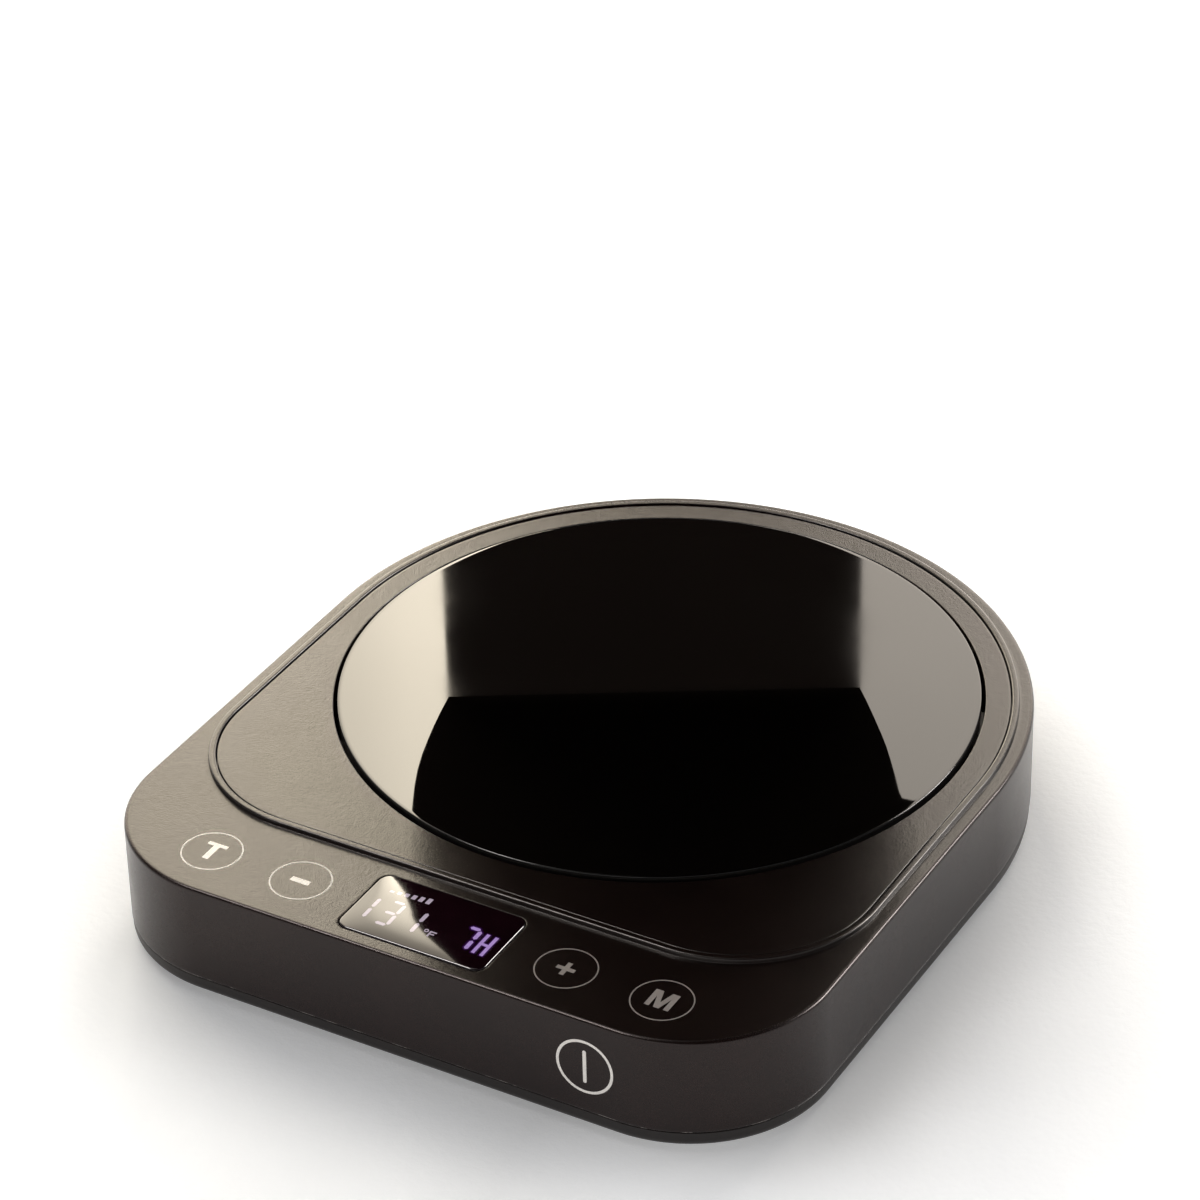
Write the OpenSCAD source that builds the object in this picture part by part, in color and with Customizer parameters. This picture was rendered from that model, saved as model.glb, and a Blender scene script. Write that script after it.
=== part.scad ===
// Electric drink warmer: a low D-shaped table unit with a round floating
// hot plate, a touch strip with a small display, and a clip-in base.
// Millimetres. The origin is the centre of the footprint on the table,
// +X right, +Y to the back, +Z up. The front wall is at y = -body_d/2.

/* [Body] */
// Width of the body, and twice the radius of its round back
body_w = 120; // [112:1:128]
// Depth of the body, front wall to the back of the round end
body_d = 140; // [134:1:148]
// Radius of the two front corners in plan
front_r = 23.2; // [20:0.2:26]
// Height of the touch strip above the table
strip_z = 20.5; // [20:0.1:21.5]
// Height of the joint between the casing and the base cover
seam_z = 3.7; // [3.5:0.1:4.2]
// Wall thickness of the casing
wall = 2.2; // [1.8:0.1:2.4]
// Rounding of the casing's top edge
top_edge_r = 0.6; // [0.3:0.1:0.8]

/* [Raised deck] */
// Distance of the raised rim's foot from the side walls
rim_inset = 2.3; // [2:0.1:2.8]
// Depth of the touch strip, front wall to the raised rim's foot
strip_depth = 19.9; // [19:0.1:20.4]
// Height of the raised rim above the touch strip
rim_h = 0.8; // [0.7:0.1:1.2]
// Width of the raised rim
rim_w = 1.2; // [1:0.1:1.4]
// Height of the deck panel's face above the touch strip
deck_h = 0.55; // [0.4:0.05:0.7]
// Gap between the deck panel and the rim around it
deck_gap = 0.2; // [0.15:0.05:0.3]

/* [Hot plate] */
// Diameter of the glass plate
plate_d = 103.2; // [98:0.2:104]
// Gap between the glass plate and the deck, all round
plate_gap = 0.65; // [0.6:0.05:0.9]
// Thickness of the glass plate
glass_t = 3; // [2.8:0.1:3.2]
// Height of the unloaded glass above the deck panel
plate_proud = 0.45; // [0.3:0.05:0.6]
// Travel of the plate under its full load
plate_travel = 0.7; // [0.4:0.1:0.8]

/* [Touch strip] */
// Distance of the two inner touch keys from the middle
key_x1 = 23.2; // [22:0.1:25]
// Distance of the two outer touch keys from the middle
key_x2 = 39.4; // [38:0.1:41]
// Distance of the touch keys and the display from the front wall
key_in = 9.8; // [9:0.1:10.5]
// Width of the display window
window_w = 25.4; // [24:0.2:26]
// Depth of the display window
window_d = 14.6; // [13:0.2:14.8]
// Height of the window's crown above the strip
window_proud = 0.5; // [0.3:0.1:0.7]
// Distance of the power key from the middle, on the front wall
power_x = 31.65; // [30:0.1:33]

/* [Base] */
// Height of the rubber feet below the base
foot_h = 0.9; // [0.8:0.1:1.2]
// Diameter of the rubber feet
foot_d = 11; // [9:0.5:12]
// Rounding of the base cover's lower edge
base_r = 1.5; // [1:0.1:2]
// Diameter of the hole in the rear bushing
cord_hole_d = 5.5; // [5:0.1:6]
// Height of the rear bushing above the table
cord_z = 10.5; // [10:0.1:11]

/* [Hidden] */
$fn = 96;

hw = body_w / 2;                 // half width, and the back's radius
fy = -body_d / 2;                // front wall
cy = body_d / 2 - hw;            // centre of the round back and of the plate
base_z = foot_h;                 // underside of the base cover
floor_z = base_z + 2.6;          // inside floor of the base cover
top_t = 2.4;                     // thickness of the casing's top
roof_z = strip_z - top_t;        // inside roof of the casing
rim_x = hw - rim_inset;          // half width of the raised rim's foot
rim_y = fy + strip_depth;        // front of the raised rim's foot
rim_r = front_r + 0.3;           // its front corner radius
pk_x = rim_x - rim_w;            // pocket inside the rim
pk_y = rim_y + rim_w;
pk_r = rim_r - rim_w;
pk_z = strip_z - 0.9;            // floor of the pocket
deck_z = strip_z + deck_h;       // deck panel's face
plate_r = plate_d / 2;
hole_r = plate_r + plate_gap;
glass_z1 = deck_z + plate_proud; // glass face
glass_z0 = glass_z1 - glass_t;   // glass underside
disc_z1 = glass_z0 - 3.6;        // carrier disc, top
disc_z0 = disc_z1 - 1.2;         // carrier disc, underside
el_z1 = glass_z0 - 1;            // heating element, top
el_z0 = el_z1 - 0.8;             // heating element, underside
key_y = fy + key_in;
win_y = fy + 10;
pcb_z = floor_z + 2.5;           // main board, underside
pcb_t = 1.6;
pcb_top = pcb_z + pcb_t;
cb_z = 10;                       // control board, underside
cb_t = 1.2;
post_a = [45, 135, 225, 315];    // guide posts, angles round the plate
post_r = 38;
tab_a = [20, 160, 225, 315];     // hold-down tabs of the carrier
foot_p = [[-40, -50], [40, -50], [-27, 50], [27, 50]];
case_p = [[-50.5, -40], [50.5, -40], [-38.8, 48.8], [38.8, 48.8]];
cbs_p = [[-31.3, -56], [31.3, -56]];
mbs_p = [[-19, -19], [19, -19], [-19, 35], [19, 35]];
hl_p = [[-13.3, -8], [-10.7, -8]]; // heater leads
sl_p = [[11.2, -8], [12.8, -8]];   // sensor leads

// ---- helpers -------------------------------------------------------------

// Plan of the body or of anything like it: half width w, front edge at f,
// front corner radius r, and a half circle of radius w at the back.
module plan(w, f, r) {
  translate([0, cy]) circle(r = w, $fn = 180);
  translate([-w, f + r]) square([2 * w, cy - f - r]);
  translate([-w + r, f]) square([2 * (w - r), r + 1]);
  for (s = [-1, 1]) translate([s * (w - r), f + r]) circle(r = r);
}

// Carries a profile, drawn as (outwards from the outline, height), all the
// way round that plan.
module around(w, f, r) {
  translate([0, cy, 0]) rotate_extrude(angle = 180, $fn = 180)
    translate([w, 0]) children();
  for (m = [0, 1]) mirror([m, 0, 0]) {
    translate([w, cy, 0]) rotate([90, 0, 0])
      linear_extrude(cy - f - r) children();
    translate([w - r, f + r, 0]) rotate([0, 0, -90])
      rotate_extrude(angle = 90) translate([r, 0]) children();
  }
  translate([w - r, f, 0]) rotate([90, 0, -90])
    linear_extrude(2 * (w - r)) children();
}

// A rectangle with round corners, about its centre.
module rrect(a, b, r) {
  square([a - 2 * r, b], center = true);
  square([a, b - 2 * r], center = true);
  for (i = [-1, 1], j = [-1, 1])
    translate([i * (a / 2 - r), j * (b / 2 - r)]) circle(r = r, $fn = 32);
}

module at(points, z = 0) for (p = points) translate([p[0], p[1], z]) children();
module polar(angles, r, z = 0)
  for (a = angles) translate([r * cos(a), cy + r * sin(a), z]) rotate([0, 0, a]) children();
module tube(ro, ri, h) difference() {
  cylinder(r = ro, h = h, $fn = 48);
  translate([0, 0, -1]) cylinder(r = ri, h = h + 2, $fn = 48);
}
module box(x, y, z) translate([-x / 2, -y / 2, 0]) cube([x, y, z]);

// Wire of radius rw wound at mean radius rm from height 0 to h, with its two
// end turns lying nearly flat. One closed tube, s sides, q rings a turn.
function coil_z(t, n, h, rw) =
  let (e = 0.75, p = 2.2 * rw, u = t * n)
  u < e ? rw + p * u : u > n - e ? h - rw - p * (n - u)
  : rw + p * e + (h - 2 * rw - 2 * p * e) * (u - e) / (n - 2 * e);
module coil(rm, rw, h, n, s = 6, q = 10) {
  k = n * q;
  pts = [for (i = [0:k]) let (t = i / k, a = 360 * n * t, z = coil_z(t, n, h, rw))
    for (j = [0:s - 1]) let (b = 360 * j / s, c = rm + rw * cos(b))
      [c * cos(a), c * sin(a), z + rw * sin(b)]];
  faces = concat(
    [[for (j = [0:s - 1]) j]],
    [for (i = [0:k - 1], j = [0:s - 1])
      let (a = i * s + j, b = i * s + (j + 1) % s) [a, a + s, b]],
    [for (i = [0:k - 1], j = [0:s - 1])
      let (a = i * s + j, b = i * s + (j + 1) % s) [b, a + s, b + s]],
    [[for (j = [s - 1:-1:0]) k * s + j]]);
  polyhedron(points = pts, faces = faces);
}

// Pan-head screw, head downwards: head from z = 0 to hh, shank up to l.
module screw_up(rh, hh, rs, l) difference() {
  union() {
    cylinder(r = rh, h = hh, $fn = 32);
    translate([0, 0, hh - 0.1]) cylinder(r = rs, h = l - hh + 0.1, $fn = 32);
  }
  for (a = [0, 90]) rotate([0, 0, a]) translate([-rh * 0.62, -0.3, -1])
    cube([rh * 1.24, 0.6, 1 + hh * 0.45]);
}
module screw_down(rh, hh, rs, l) mirror([0, 0, 1]) screw_up(rh, hh, rs, l);

// ---- casing --------------------------------------------------------------

module top_shell() color([0.16, 0.14, 0.13]) difference() {
  union() {
    // side wall, with a round top edge
    around(hw, fy, front_r) {
      translate([-wall, seam_z]) square([wall, strip_z - top_edge_r - seam_z]);
      translate([-wall, seam_z]) square([wall - top_edge_r, strip_z - seam_z]);
      translate([-top_edge_r, strip_z - top_edge_r]) circle(r = top_edge_r, $fn = 32);
    }
    // top
    translate([0, 0, roof_z]) linear_extrude(top_t)
      plan(hw - 1, fy + 1, front_r - 1);
    // raised rim round the deck panel
    around(rim_x, rim_y, rim_r) polygon([
      [0, strip_z - 0.3], [0, strip_z], [-0.16, strip_z + rim_h - 0.35],
      [-0.26, strip_z + rim_h - 0.12], [-0.46, strip_z + rim_h],
      [-rim_w + 0.25, strip_z + rim_h], [-rim_w, strip_z + rim_h - 0.2],
      [-rim_w, strip_z - 0.3]]);
    // bosses for the four case screws
    at(case_p, seam_z + 2.6) cylinder(r = 3, h = roof_z - seam_z - 2.2, $fn = 48);
    // the two front ones are braced to the side walls
    for (s = [-1, 1]) translate([s > 0 ? 50.5 : -hw + 1, -40.6, seam_z + 2.6])
      cube([hw - 51.5, 1.2, roof_z - seam_z - 2.4]);
    // pillars for the control board
    at(cbs_p, cb_z + cb_t) cylinder(r = 2.3, h = roof_z - cb_z - cb_t + 0.4, $fn = 48);
  }
  // pocket for the deck panel, inside the rim
  translate([0, 0, pk_z]) linear_extrude(6) plan(pk_x, pk_y, pk_r);
  // opening for the plate
  translate([0, cy, 0]) cylinder(r = hole_r, h = 40, $fn = 180);
  // opening for the display window
  translate([0, win_y, roof_z - 1]) linear_extrude(6)
    rrect(window_w + 0.2, window_d + 0.2, 2.1);
  // holes for the deck panel's pegs
  polar([0, 60, 120, 180], 54.3, roof_z - 1) cylinder(r = 1.1, h = 4, $fn = 32);
  at([[-44, -34], [44, -34]], roof_z - 1) cylinder(r = 1.6, h = 4, $fn = 32);
  // screw holes
  at(case_p, 0) cylinder(r = 1.35, h = 15.5, $fn = 32);
  at(cbs_p, cb_z) cylinder(r = 1.05, h = 6.6, $fn = 32);
  // hole and seat for the rear bushing
  translate([0, body_d / 2 - 6, cord_z]) rotate([-90, 0, 0]) {
    cylinder(r = 4.1, h = 10, $fn = 48);
    translate([0, 0, 5.2]) cylinder(r = 5.2, h = 5, $fn = 48);
  }
}

module deck_panel() color([0.17, 0.15, 0.14]) difference() {
  union() {
    translate([0, 0, pk_z]) linear_extrude(deck_z - pk_z - 0.2)
      plan(pk_x - deck_gap, pk_y + deck_gap, pk_r - deck_gap);
    translate([0, 0, deck_z - 0.3]) linear_extrude(0.3)
      plan(pk_x - deck_gap - 0.15, pk_y + deck_gap + 0.15, pk_r - deck_gap - 0.15);
    polar([0, 60, 120, 180], 54.3, roof_z + 0.2) cylinder(r = 0.95, h = 1.6, $fn = 32);
    at([[-44, -34], [44, -34]], roof_z + 0.2) cylinder(r = 1.45, h = 1.6, $fn = 32);
  }
  translate([0, cy, 0]) cylinder(r = hole_r, h = 40, $fn = 180);
}

module bottom_cover() color([0.10, 0.09, 0.09]) difference() {
  union() {
    // rounded outer edge, up to the joint with the casing
    around(hw - 0.15, fy + 0.15, front_r - 0.15) {
      intersection() {
        translate([-base_r, base_z + base_r]) circle(r = base_r, $fn = 48);
        translate([-base_r, base_z]) square([base_r, base_r]);
      }
      translate([-4.4, base_z]) square([4.4 - base_r, seam_z - base_z]);
      translate([-base_r, base_z + base_r]) square([base_r, seam_z - base_z - base_r]);
    }
    translate([0, 0, base_z]) linear_extrude(floor_z - base_z)
      plan(hw - 2.35, fy + 2.35, front_r - 2.35);
    // tongue that locates inside the casing's wall
    around(hw - wall - 0.3, fy + wall + 0.3, front_r - wall - 0.3)
      translate([-1.2, floor_z - 0.5]) square([1.2, 3]);
    // pillars for the case screws
    at(case_p, floor_z - 0.5) cylinder(r = 2.7, h = seam_z + 2.4 - floor_z + 0.5, $fn = 48);
    // standoffs for the main board
    at(mbs_p, floor_z - 0.5) cylinder(r = 2.6, h = pcb_z - floor_z + 0.5, $fn = 48);
    // guide posts for the plate carrier, each with a collar for its spring
    polar(post_a, post_r, floor_z - 0.5) {
      cylinder(r = 2.3, h = 2, $fn = 48);
      cylinder(r = 1.5, h = disc_z0 - floor_z, $fn = 48);
    }
    // ribs across the floor
    for (y = [-31, 47]) translate([-30, y, floor_z - 0.5]) cube([60, 1.2, 1.7]);
  }
  // screw holes and head seats
  at(case_p, 0) cylinder(r = 1.45, h = 12, $fn = 32);
  at(case_p, 0) cylinder(r = 2.6, h = base_z + 1.4, $fn = 48);
  at(mbs_p, floor_z - 0.4) cylinder(r = 1.05, h = 4, $fn = 32);
  // seats for the feet
  at(foot_p, 0) cylinder(r = foot_d / 2 + 0.15, h = base_z + 0.8, $fn = 64);
  // air slots
  for (i = [-4:4], s = [-1, 1])
    translate([i * 4.2 - 0.8, cy - 4.5 + s * 31, 0]) cube([1.6, 9, 8]);
  // room in the tongue for the rear bushing
  translate([-6.5, body_d / 2 - 8, seam_z]) cube([13, 8, 5]);
  // shallow bare field on the underside
  translate([-22, cy - 14, 0]) cube([44, 26, base_z + 0.3]);
}

module rubber_feet() color([0.06, 0.06, 0.06]) at(foot_p) {
  translate([0, 0, 0.4]) cylinder(r = foot_d / 2, h = base_z + 0.4, $fn = 64);
  cylinder(r = foot_d / 2 - 0.4, h = 0.5, $fn = 64);
}

module case_screws() color([0.6, 0.6, 0.62])
  at(case_p, base_z + 0.1) screw_up(2.4, 1.3, 1.3, 11.5);

module cord_bushing() color([0.06, 0.06, 0.06])
  translate([0, body_d / 2, cord_z]) rotate([90, 0, 0]) difference() {
    union() {
      cylinder(r = 5, h = 0.8, $fn = 64);
      cylinder(r = 4, h = 5.5, $fn = 64);
      translate([0, 0, 2.7]) cylinder(r = 5.2, h = 2.8, $fn = 64);
    }
    translate([0, 0, -1]) cylinder(r = cord_hole_d / 2, h = 8, $fn = 64);
  }

// ---- display and touch controls --------------------------------------------

module display_window() color([0.05, 0.03, 0.06, 0.8]) union() {
  translate([0, win_y, roof_z - 0.8]) linear_extrude(0.8)
    rrect(window_w + 3, window_d + 0.3, 2);
  translate([0, win_y, roof_z - 0.1])
    linear_extrude(top_t + 0.1 + window_proud * 0.4) rrect(window_w, window_d, 2);
  // low crown
  translate([0, win_y, strip_z]) linear_extrude(window_proud * 0.75)
    rrect(window_w - 0.8, window_d - 0.8, 1.7);
  translate([0, win_y, strip_z]) linear_extrude(window_proud)
    rrect(window_w - 2, window_d - 2, 1.2);
}

module window_gasket() color([0.05, 0.05, 0.05])
  translate([0, win_y, cb_z + cb_t + 5.2]) difference() {
    linear_extrude(roof_z - 0.8 - cb_z - cb_t - 5.2) rrect(window_w + 1, window_d, 1.4);
    translate([0, 0, -1]) linear_extrude(6) rrect(window_w - 2, window_d - 1.8, 0.8);
  }

module led_display() color([0.85, 0.85, 0.82]) translate([0, win_y, cb_z + cb_t]) {
  translate([-12.1, -6.6, 0]) cube([24.2, 13.2, 5.2]);
  // raised light box with its film
  translate([0, 0, 5.1]) box(22.6, 12, 0.7);
}

module control_board() color([0.05, 0.22, 0.12]) difference() {
  translate([-44, fy + 3, cb_z]) cube([88, 15, cb_t]);
  translate([25, fy + 2, cb_z - 1]) cube([13.4, 5, 4]);
  at(cbs_p, cb_z - 1) cylinder(r = 1.3, h = 4, $fn = 32);
}
module control_board_screws() color([0.6, 0.6, 0.62])
  at(cbs_p, cb_z - 1.3) screw_up(1.9, 1.3, 1, 6.2);
module controller_chip() color([0.05, 0.05, 0.05])
  translate([18, key_y + 2, cb_z - 1.2]) box(7, 7, 1.2);
module buzzer() color([0.08, 0.08, 0.08])
  translate([-31.3, key_y - 1.7, cb_z + cb_t]) difference() {
    cylinder(r = 3.4, h = 3, $fn = 48);
    translate([0, 0, 2.2]) cylinder(r = 0.7, h = 2, $fn = 24);
  }
module touch_springs() color([0.75, 0.7, 0.55])
  at([[-key_x2, key_y], [-key_x1, key_y], [key_x1, key_y], [key_x2, key_y]], cb_z + cb_t)
    coil(2.5, 0.3, roof_z - cb_z - cb_t, 5, 5, 9);
module power_key_board() color([0.05, 0.22, 0.12])
  translate([power_x - 6.1, fy + 5.1, 6.5]) cube([12.2, 1, 10.5]);
module power_touch_spring() color([0.75, 0.7, 0.55])
  translate([power_x, fy + 5.1, 11.92]) rotate([90, 0, 0])
    coil(2.5, 0.3, 5.1 - wall, 3, 5, 9);

module ribbon_sockets() color([0.9, 0.88, 0.8]) {
  translate([0, -54.7, cb_z - 3.4]) box(14, 4.6, 3.4);
  translate([0, -18, pcb_top]) box(14, 4.6, 3.6);
}
// flat cable between the two boards
module ribbon_cable() color([0.7, 0.7, 0.72])
  translate([-5.5, 0, 0]) rotate([90, 0, 90]) linear_extrude(11) polygon([
    [-52.4, 7.6], [-47, 7.6], [-43, 6.2], [-34, 6.2], [-29, 7.2], [-25, 9.2],
    [-20.3, 9.2], [-20.3, 10], [-25.3, 10], [-29.3, 8], [-34.2, 7],
    [-42.8, 7], [-46.8, 8.4], [-52.4, 8.4]]);

// ---- main board --------------------------------------------------------------

module main_board() color([0.55, 0.42, 0.15]) difference() {
  translate([-22, -22, pcb_z]) cube([44, 60, pcb_t]);
  at(mbs_p, pcb_z - 1) cylinder(r = 1.3, h = 4, $fn = 32);
}
module main_board_screws() color([0.6, 0.6, 0.62])
  at(mbs_p, pcb_top + 1.3) screw_down(2.1, 1.3, 1, 4.6);

module power_triac() color([0.05, 0.05, 0.05]) translate([-15.2, 14, pcb_top]) {
  translate([-5, -5, 0.8]) cube([10, 9.4, 3.2]);
  // three legs down to the board
  for (i = [-1:1]) translate([i * 2.5 - 0.4, -7, 0]) cube([0.8, 2.1, 1.6]);
}
module triac_heatsink() color([0.8, 0.8, 0.82]) translate([-15.2, 14, pcb_top]) difference() {
  union() {
    translate([-5.6, -4.7, 0]) cube([11.2, 15.7, 0.8]);
    translate([-5.6, 10, 0]) cube([11.2, 1, 4.4]);
  }
  translate([0, 7, -1]) cylinder(r = 1.6, h = 3, $fn = 32);
}
module filter_capacitor() color([0.75, 0.6, 0.1])
  translate([13.4, 24.5, pcb_top]) box(14, 8, 4.9);
module smoothing_capacitor() color([0.12, 0.15, 0.35])
  translate([14.6, 2, pcb_top + 2.55]) rotate([-90, 0, 0]) difference() {
    cylinder(r = 2.5, h = 11, $fn = 48);
    translate([0, 0, 9.4]) tube(3, 2.3, 0.5);
  }
module mains_fuse() color([0.85, 0.8, 0.7])
  translate([-3.5, 21.5, pcb_top]) {
    translate([0, 0, 2.2]) rotate([0, 90, 0]) cylinder(r = 1.7, h = 8.6, center = true, $fn = 32);
    for (s = [-1, 1]) {
      translate([s * 4.95, 0, 0]) box(0.7, 0.7, 2.55);
      translate([s * 4.65, 0, 1.85]) box(1.3, 0.7, 0.7);
    }
  }
module surge_varistor() color([0.1, 0.25, 0.6])
  translate([9.2, 16, pcb_top + 0.4]) union() {
    cylinder(r = 3.4, h = 3.4, $fn = 48);
    for (s = [-1, 1]) translate([s * 2, 0, -0.4]) cylinder(r = 0.35, h = 1, $fn = 16);
  }
module mains_terminal_block() color([0.1, 0.35, 0.2])
  translate([0, 33, pcb_top]) difference() {
    box(11, 8, 4.9);
    for (s = [-1, 1]) translate([s * 2.6, 0, 0]) {
      translate([0, 2, 2.2]) rotate([-90, 0, 0]) cylinder(r = 1.3, h = 4, $fn = 32);
      translate([0, -0.8, 3.8]) cylinder(r = 1.6, h = 2, $fn = 32);
    }
  }
module socket(p) translate([p[0], p[1], pcb_top]) difference() {
  box(7.4, 5, 4);
  translate([0, 0, 2.6]) box(6, 3.6, 3);
}
module heater_socket() color([0.9, 0.88, 0.8]) socket([-12, -8]);
module sensor_socket() color([0.9, 0.88, 0.8]) socket([12, -8]);

// ---- sensing of a load ---------------------------------------------------------

module switch_housing() color([0.07, 0.07, 0.07]) translate([0, cy, pcb_top]) difference() {
  union() {
    box(7, 7, 3.2);
    for (s = [-1, 1]) translate([s * 3.9, 0, 0]) box(1.2, 5, 0.3);
  }
  translate([0, 0, 1]) cylinder(r = 1.8, h = 4, $fn = 48);
}
module switch_plunger() color([0.85, 0.2, 0.15])
  translate([0, cy, pcb_top + 2]) cylinder(r = 1.74, h = disc_z0 - 0.72 - pcb_top - 2, $fn = 48);

// ---- floating hot plate -----------------------------------------------------------

module glass_plate() color([0.03, 0.03, 0.03]) translate([0, cy, glass_z0])
  rotate_extrude($fn = 180) polygon([
    [0, 0], [plate_r - 0.3, 0], [plate_r, 0.3], [plate_r, glass_t - 0.4],
    [plate_r - 0.12, glass_t - 0.15], [plate_r - 0.4, glass_t], [0, glass_t]]);

module heat_spreader() color([0.8, 0.8, 0.82]) translate([0, cy, el_z1]) difference() {
  cylinder(r = 47, h = 1, $fn = 128);
  for (a = [0:90:270]) rotate([0, 0, a]) translate([44, 0, -1]) cylinder(r = 1.3, h = 1.7, $fn = 32);
}

module heating_element() color([0.6, 0.5, 0.35]) union() {
  translate([0, cy, el_z0]) difference() {
    cylinder(r = 41, h = 0.8, $fn = 128);
    // clearance for the sensor
    translate([12, -8 - cy, -1]) cylinder(r = 3.6, h = 4, $fn = 48);
    // tracks of the foil, as grooves in the underside
    for (r = [10:5:38]) translate([0, 0, -1]) difference() {
      cylinder(r = r + 0.6, h = 1.2, $fn = 96);
      translate([0, 0, -1]) cylinder(r = r - 0.6, h = 4, $fn = 96);
      translate([-60, -60, -1]) cube([60, 80, 4]);
    }
  }
  // the two terminals
  at(hl_p, el_z0 - 0.5) box(1.8, 3, 0.6);
}

module insulation_pad() color([0.88, 0.87, 0.82]) translate([0, 0, disc_z1]) difference() {
  translate([0, cy, 0]) cylinder(r = 46.5, h = el_z0 - disc_z1, $fn = 128);
  translate([-12, -8, -1]) box(7, 5, 5);
  translate([12, -8, -1]) cylinder(r = 3.6, h = 5, $fn = 48);
  translate([0, -14, -1]) box(11, 6, 5);
  translate([0, cy, -1]) for (a = [0:90:270]) rotate([0, 0, a])
    translate([44, 0, 0]) cylinder(r = 1.5, h = 5, $fn = 32);
}

module plate_carrier() color([0.12, 0.12, 0.12]) difference() {
  union() {
    translate([0, cy, disc_z0]) cylinder(r = 51.2, h = disc_z1 - disc_z0, $fn = 180);
    translate([0, cy, disc_z0]) difference() {
      cylinder(r = 51.2, h = glass_z0 - disc_z0, $fn = 180);
      translate([0, 0, -1]) cylinder(r = 49.4, h = 10, $fn = 180);
    }
    // hold-down tabs that stop under the casing's top
    polar(tab_a, 50, roof_z - 1.25) translate([0, -5, 0]) cube([4.6, 10, 1.2]);
    // sleeves that slide on the guide posts
    polar(post_a, post_r, disc_z0 - 4) cylinder(r = 2.4, h = 4.1, $fn = 48);
    // peg over the switch
    translate([0, cy, disc_z0 - 0.7]) cylinder(r = 2.6, h = 0.8, $fn = 48);
  }
  polar(post_a, post_r, disc_z0 - 5) cylinder(r = 1.57, h = 5.8, $fn = 48);
  translate([-12, -8, disc_z0 - 1]) box(6, 4, 4);
  translate([12, -8, disc_z0 - 1]) box(5, 4, 4);
  for (a = [0:90:270]) translate([0, cy, disc_z0 - 1]) rotate([0, 0, a])
    translate([44, 0, 0]) cylinder(r = 1.4, h = 4, $fn = 32);
}

module carrier_screws() color([0.6, 0.6, 0.62])
  for (a = [0:90:270]) translate([0, cy, disc_z0 - 1.2]) rotate([0, 0, a])
    translate([44, 0, 0]) screw_up(2.3, 1.2, 1.25, el_z1 + 0.6 - disc_z0 + 1.2);

module temperature_sensor() color([0.2, 0.1, 0.05]) translate([12, -8, el_z1 - 1.8]) {
  translate([0, 0, 0.6]) cylinder(r = 3, h = 1.2, $fn = 48);
  box(3.4, 2.4, 0.8);
}
module thermal_cutout() color([0.75, 0.75, 0.78]) translate([0, -14, disc_z1]) {
  translate([0, 0, 0.88]) rotate([0, 90, 0]) cylinder(r = 0.85, h = 8, center = true, $fn = 32);
  for (s = [-1, 1]) translate([s * 4.3, 0, 0.88]) rotate([0, 90, 0])
    cylinder(r = 0.3, h = 1.6, center = true, $fn = 16);
}

// Four springs lift the carrier.
module plate_springs() color([0.7, 0.7, 0.72])
  polar(post_a, post_r, floor_z) coil(3, 0.3, disc_z0 - floor_z, 6, 6, 10);

// Short leads between the board's sockets and the plate.
module heater_leads() color([0.8, 0.78, 0.72])
  at(hl_p, pcb_top + 2.6) cylinder(r = 0.6, h = el_z0 - 0.5 - pcb_top - 2.6, $fn = 24);
module sensor_leads() color([0.8, 0.1, 0.1])
  at(sl_p, pcb_top + 2.6) cylinder(r = 0.4, h = el_z1 - 1.8 - pcb_top - 2.6, $fn = 24);

top_shell();
deck_panel();
bottom_cover();
rubber_feet();
case_screws();
display_window();
window_gasket();
led_display();
control_board();
control_board_screws();
controller_chip();
buzzer();
touch_springs();
power_key_board();
power_touch_spring();
ribbon_cable();
ribbon_sockets();
main_board();
main_board_screws();
power_triac();
triac_heatsink();
filter_capacitor();
smoothing_capacitor();
mains_fuse();
surge_varistor();
mains_terminal_block();
heater_socket();
sensor_socket();
switch_housing();
cord_bushing();
glass_plate();
heat_spreader();
heating_element();
insulation_pad();
plate_carrier();
temperature_sensor();
thermal_cutout();
carrier_screws();
switch_plunger();
plate_springs();
heater_leads();
sensor_leads();
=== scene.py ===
import bpy
import bmesh
import math
from mathutils import Vector, Matrix, geometry


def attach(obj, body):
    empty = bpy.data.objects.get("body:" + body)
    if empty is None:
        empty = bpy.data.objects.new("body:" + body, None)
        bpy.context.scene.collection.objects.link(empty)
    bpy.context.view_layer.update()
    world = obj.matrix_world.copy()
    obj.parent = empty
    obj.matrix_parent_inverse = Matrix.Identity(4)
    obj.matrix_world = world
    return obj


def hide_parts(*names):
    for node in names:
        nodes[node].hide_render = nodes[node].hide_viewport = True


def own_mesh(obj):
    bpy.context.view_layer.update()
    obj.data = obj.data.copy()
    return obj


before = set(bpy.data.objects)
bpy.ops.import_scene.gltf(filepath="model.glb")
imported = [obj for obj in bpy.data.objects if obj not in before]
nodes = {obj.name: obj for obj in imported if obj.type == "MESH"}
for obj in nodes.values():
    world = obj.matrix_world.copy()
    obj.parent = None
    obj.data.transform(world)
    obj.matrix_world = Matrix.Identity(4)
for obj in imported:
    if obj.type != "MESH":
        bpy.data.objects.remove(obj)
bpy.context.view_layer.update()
scene = bpy.context.scene

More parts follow.
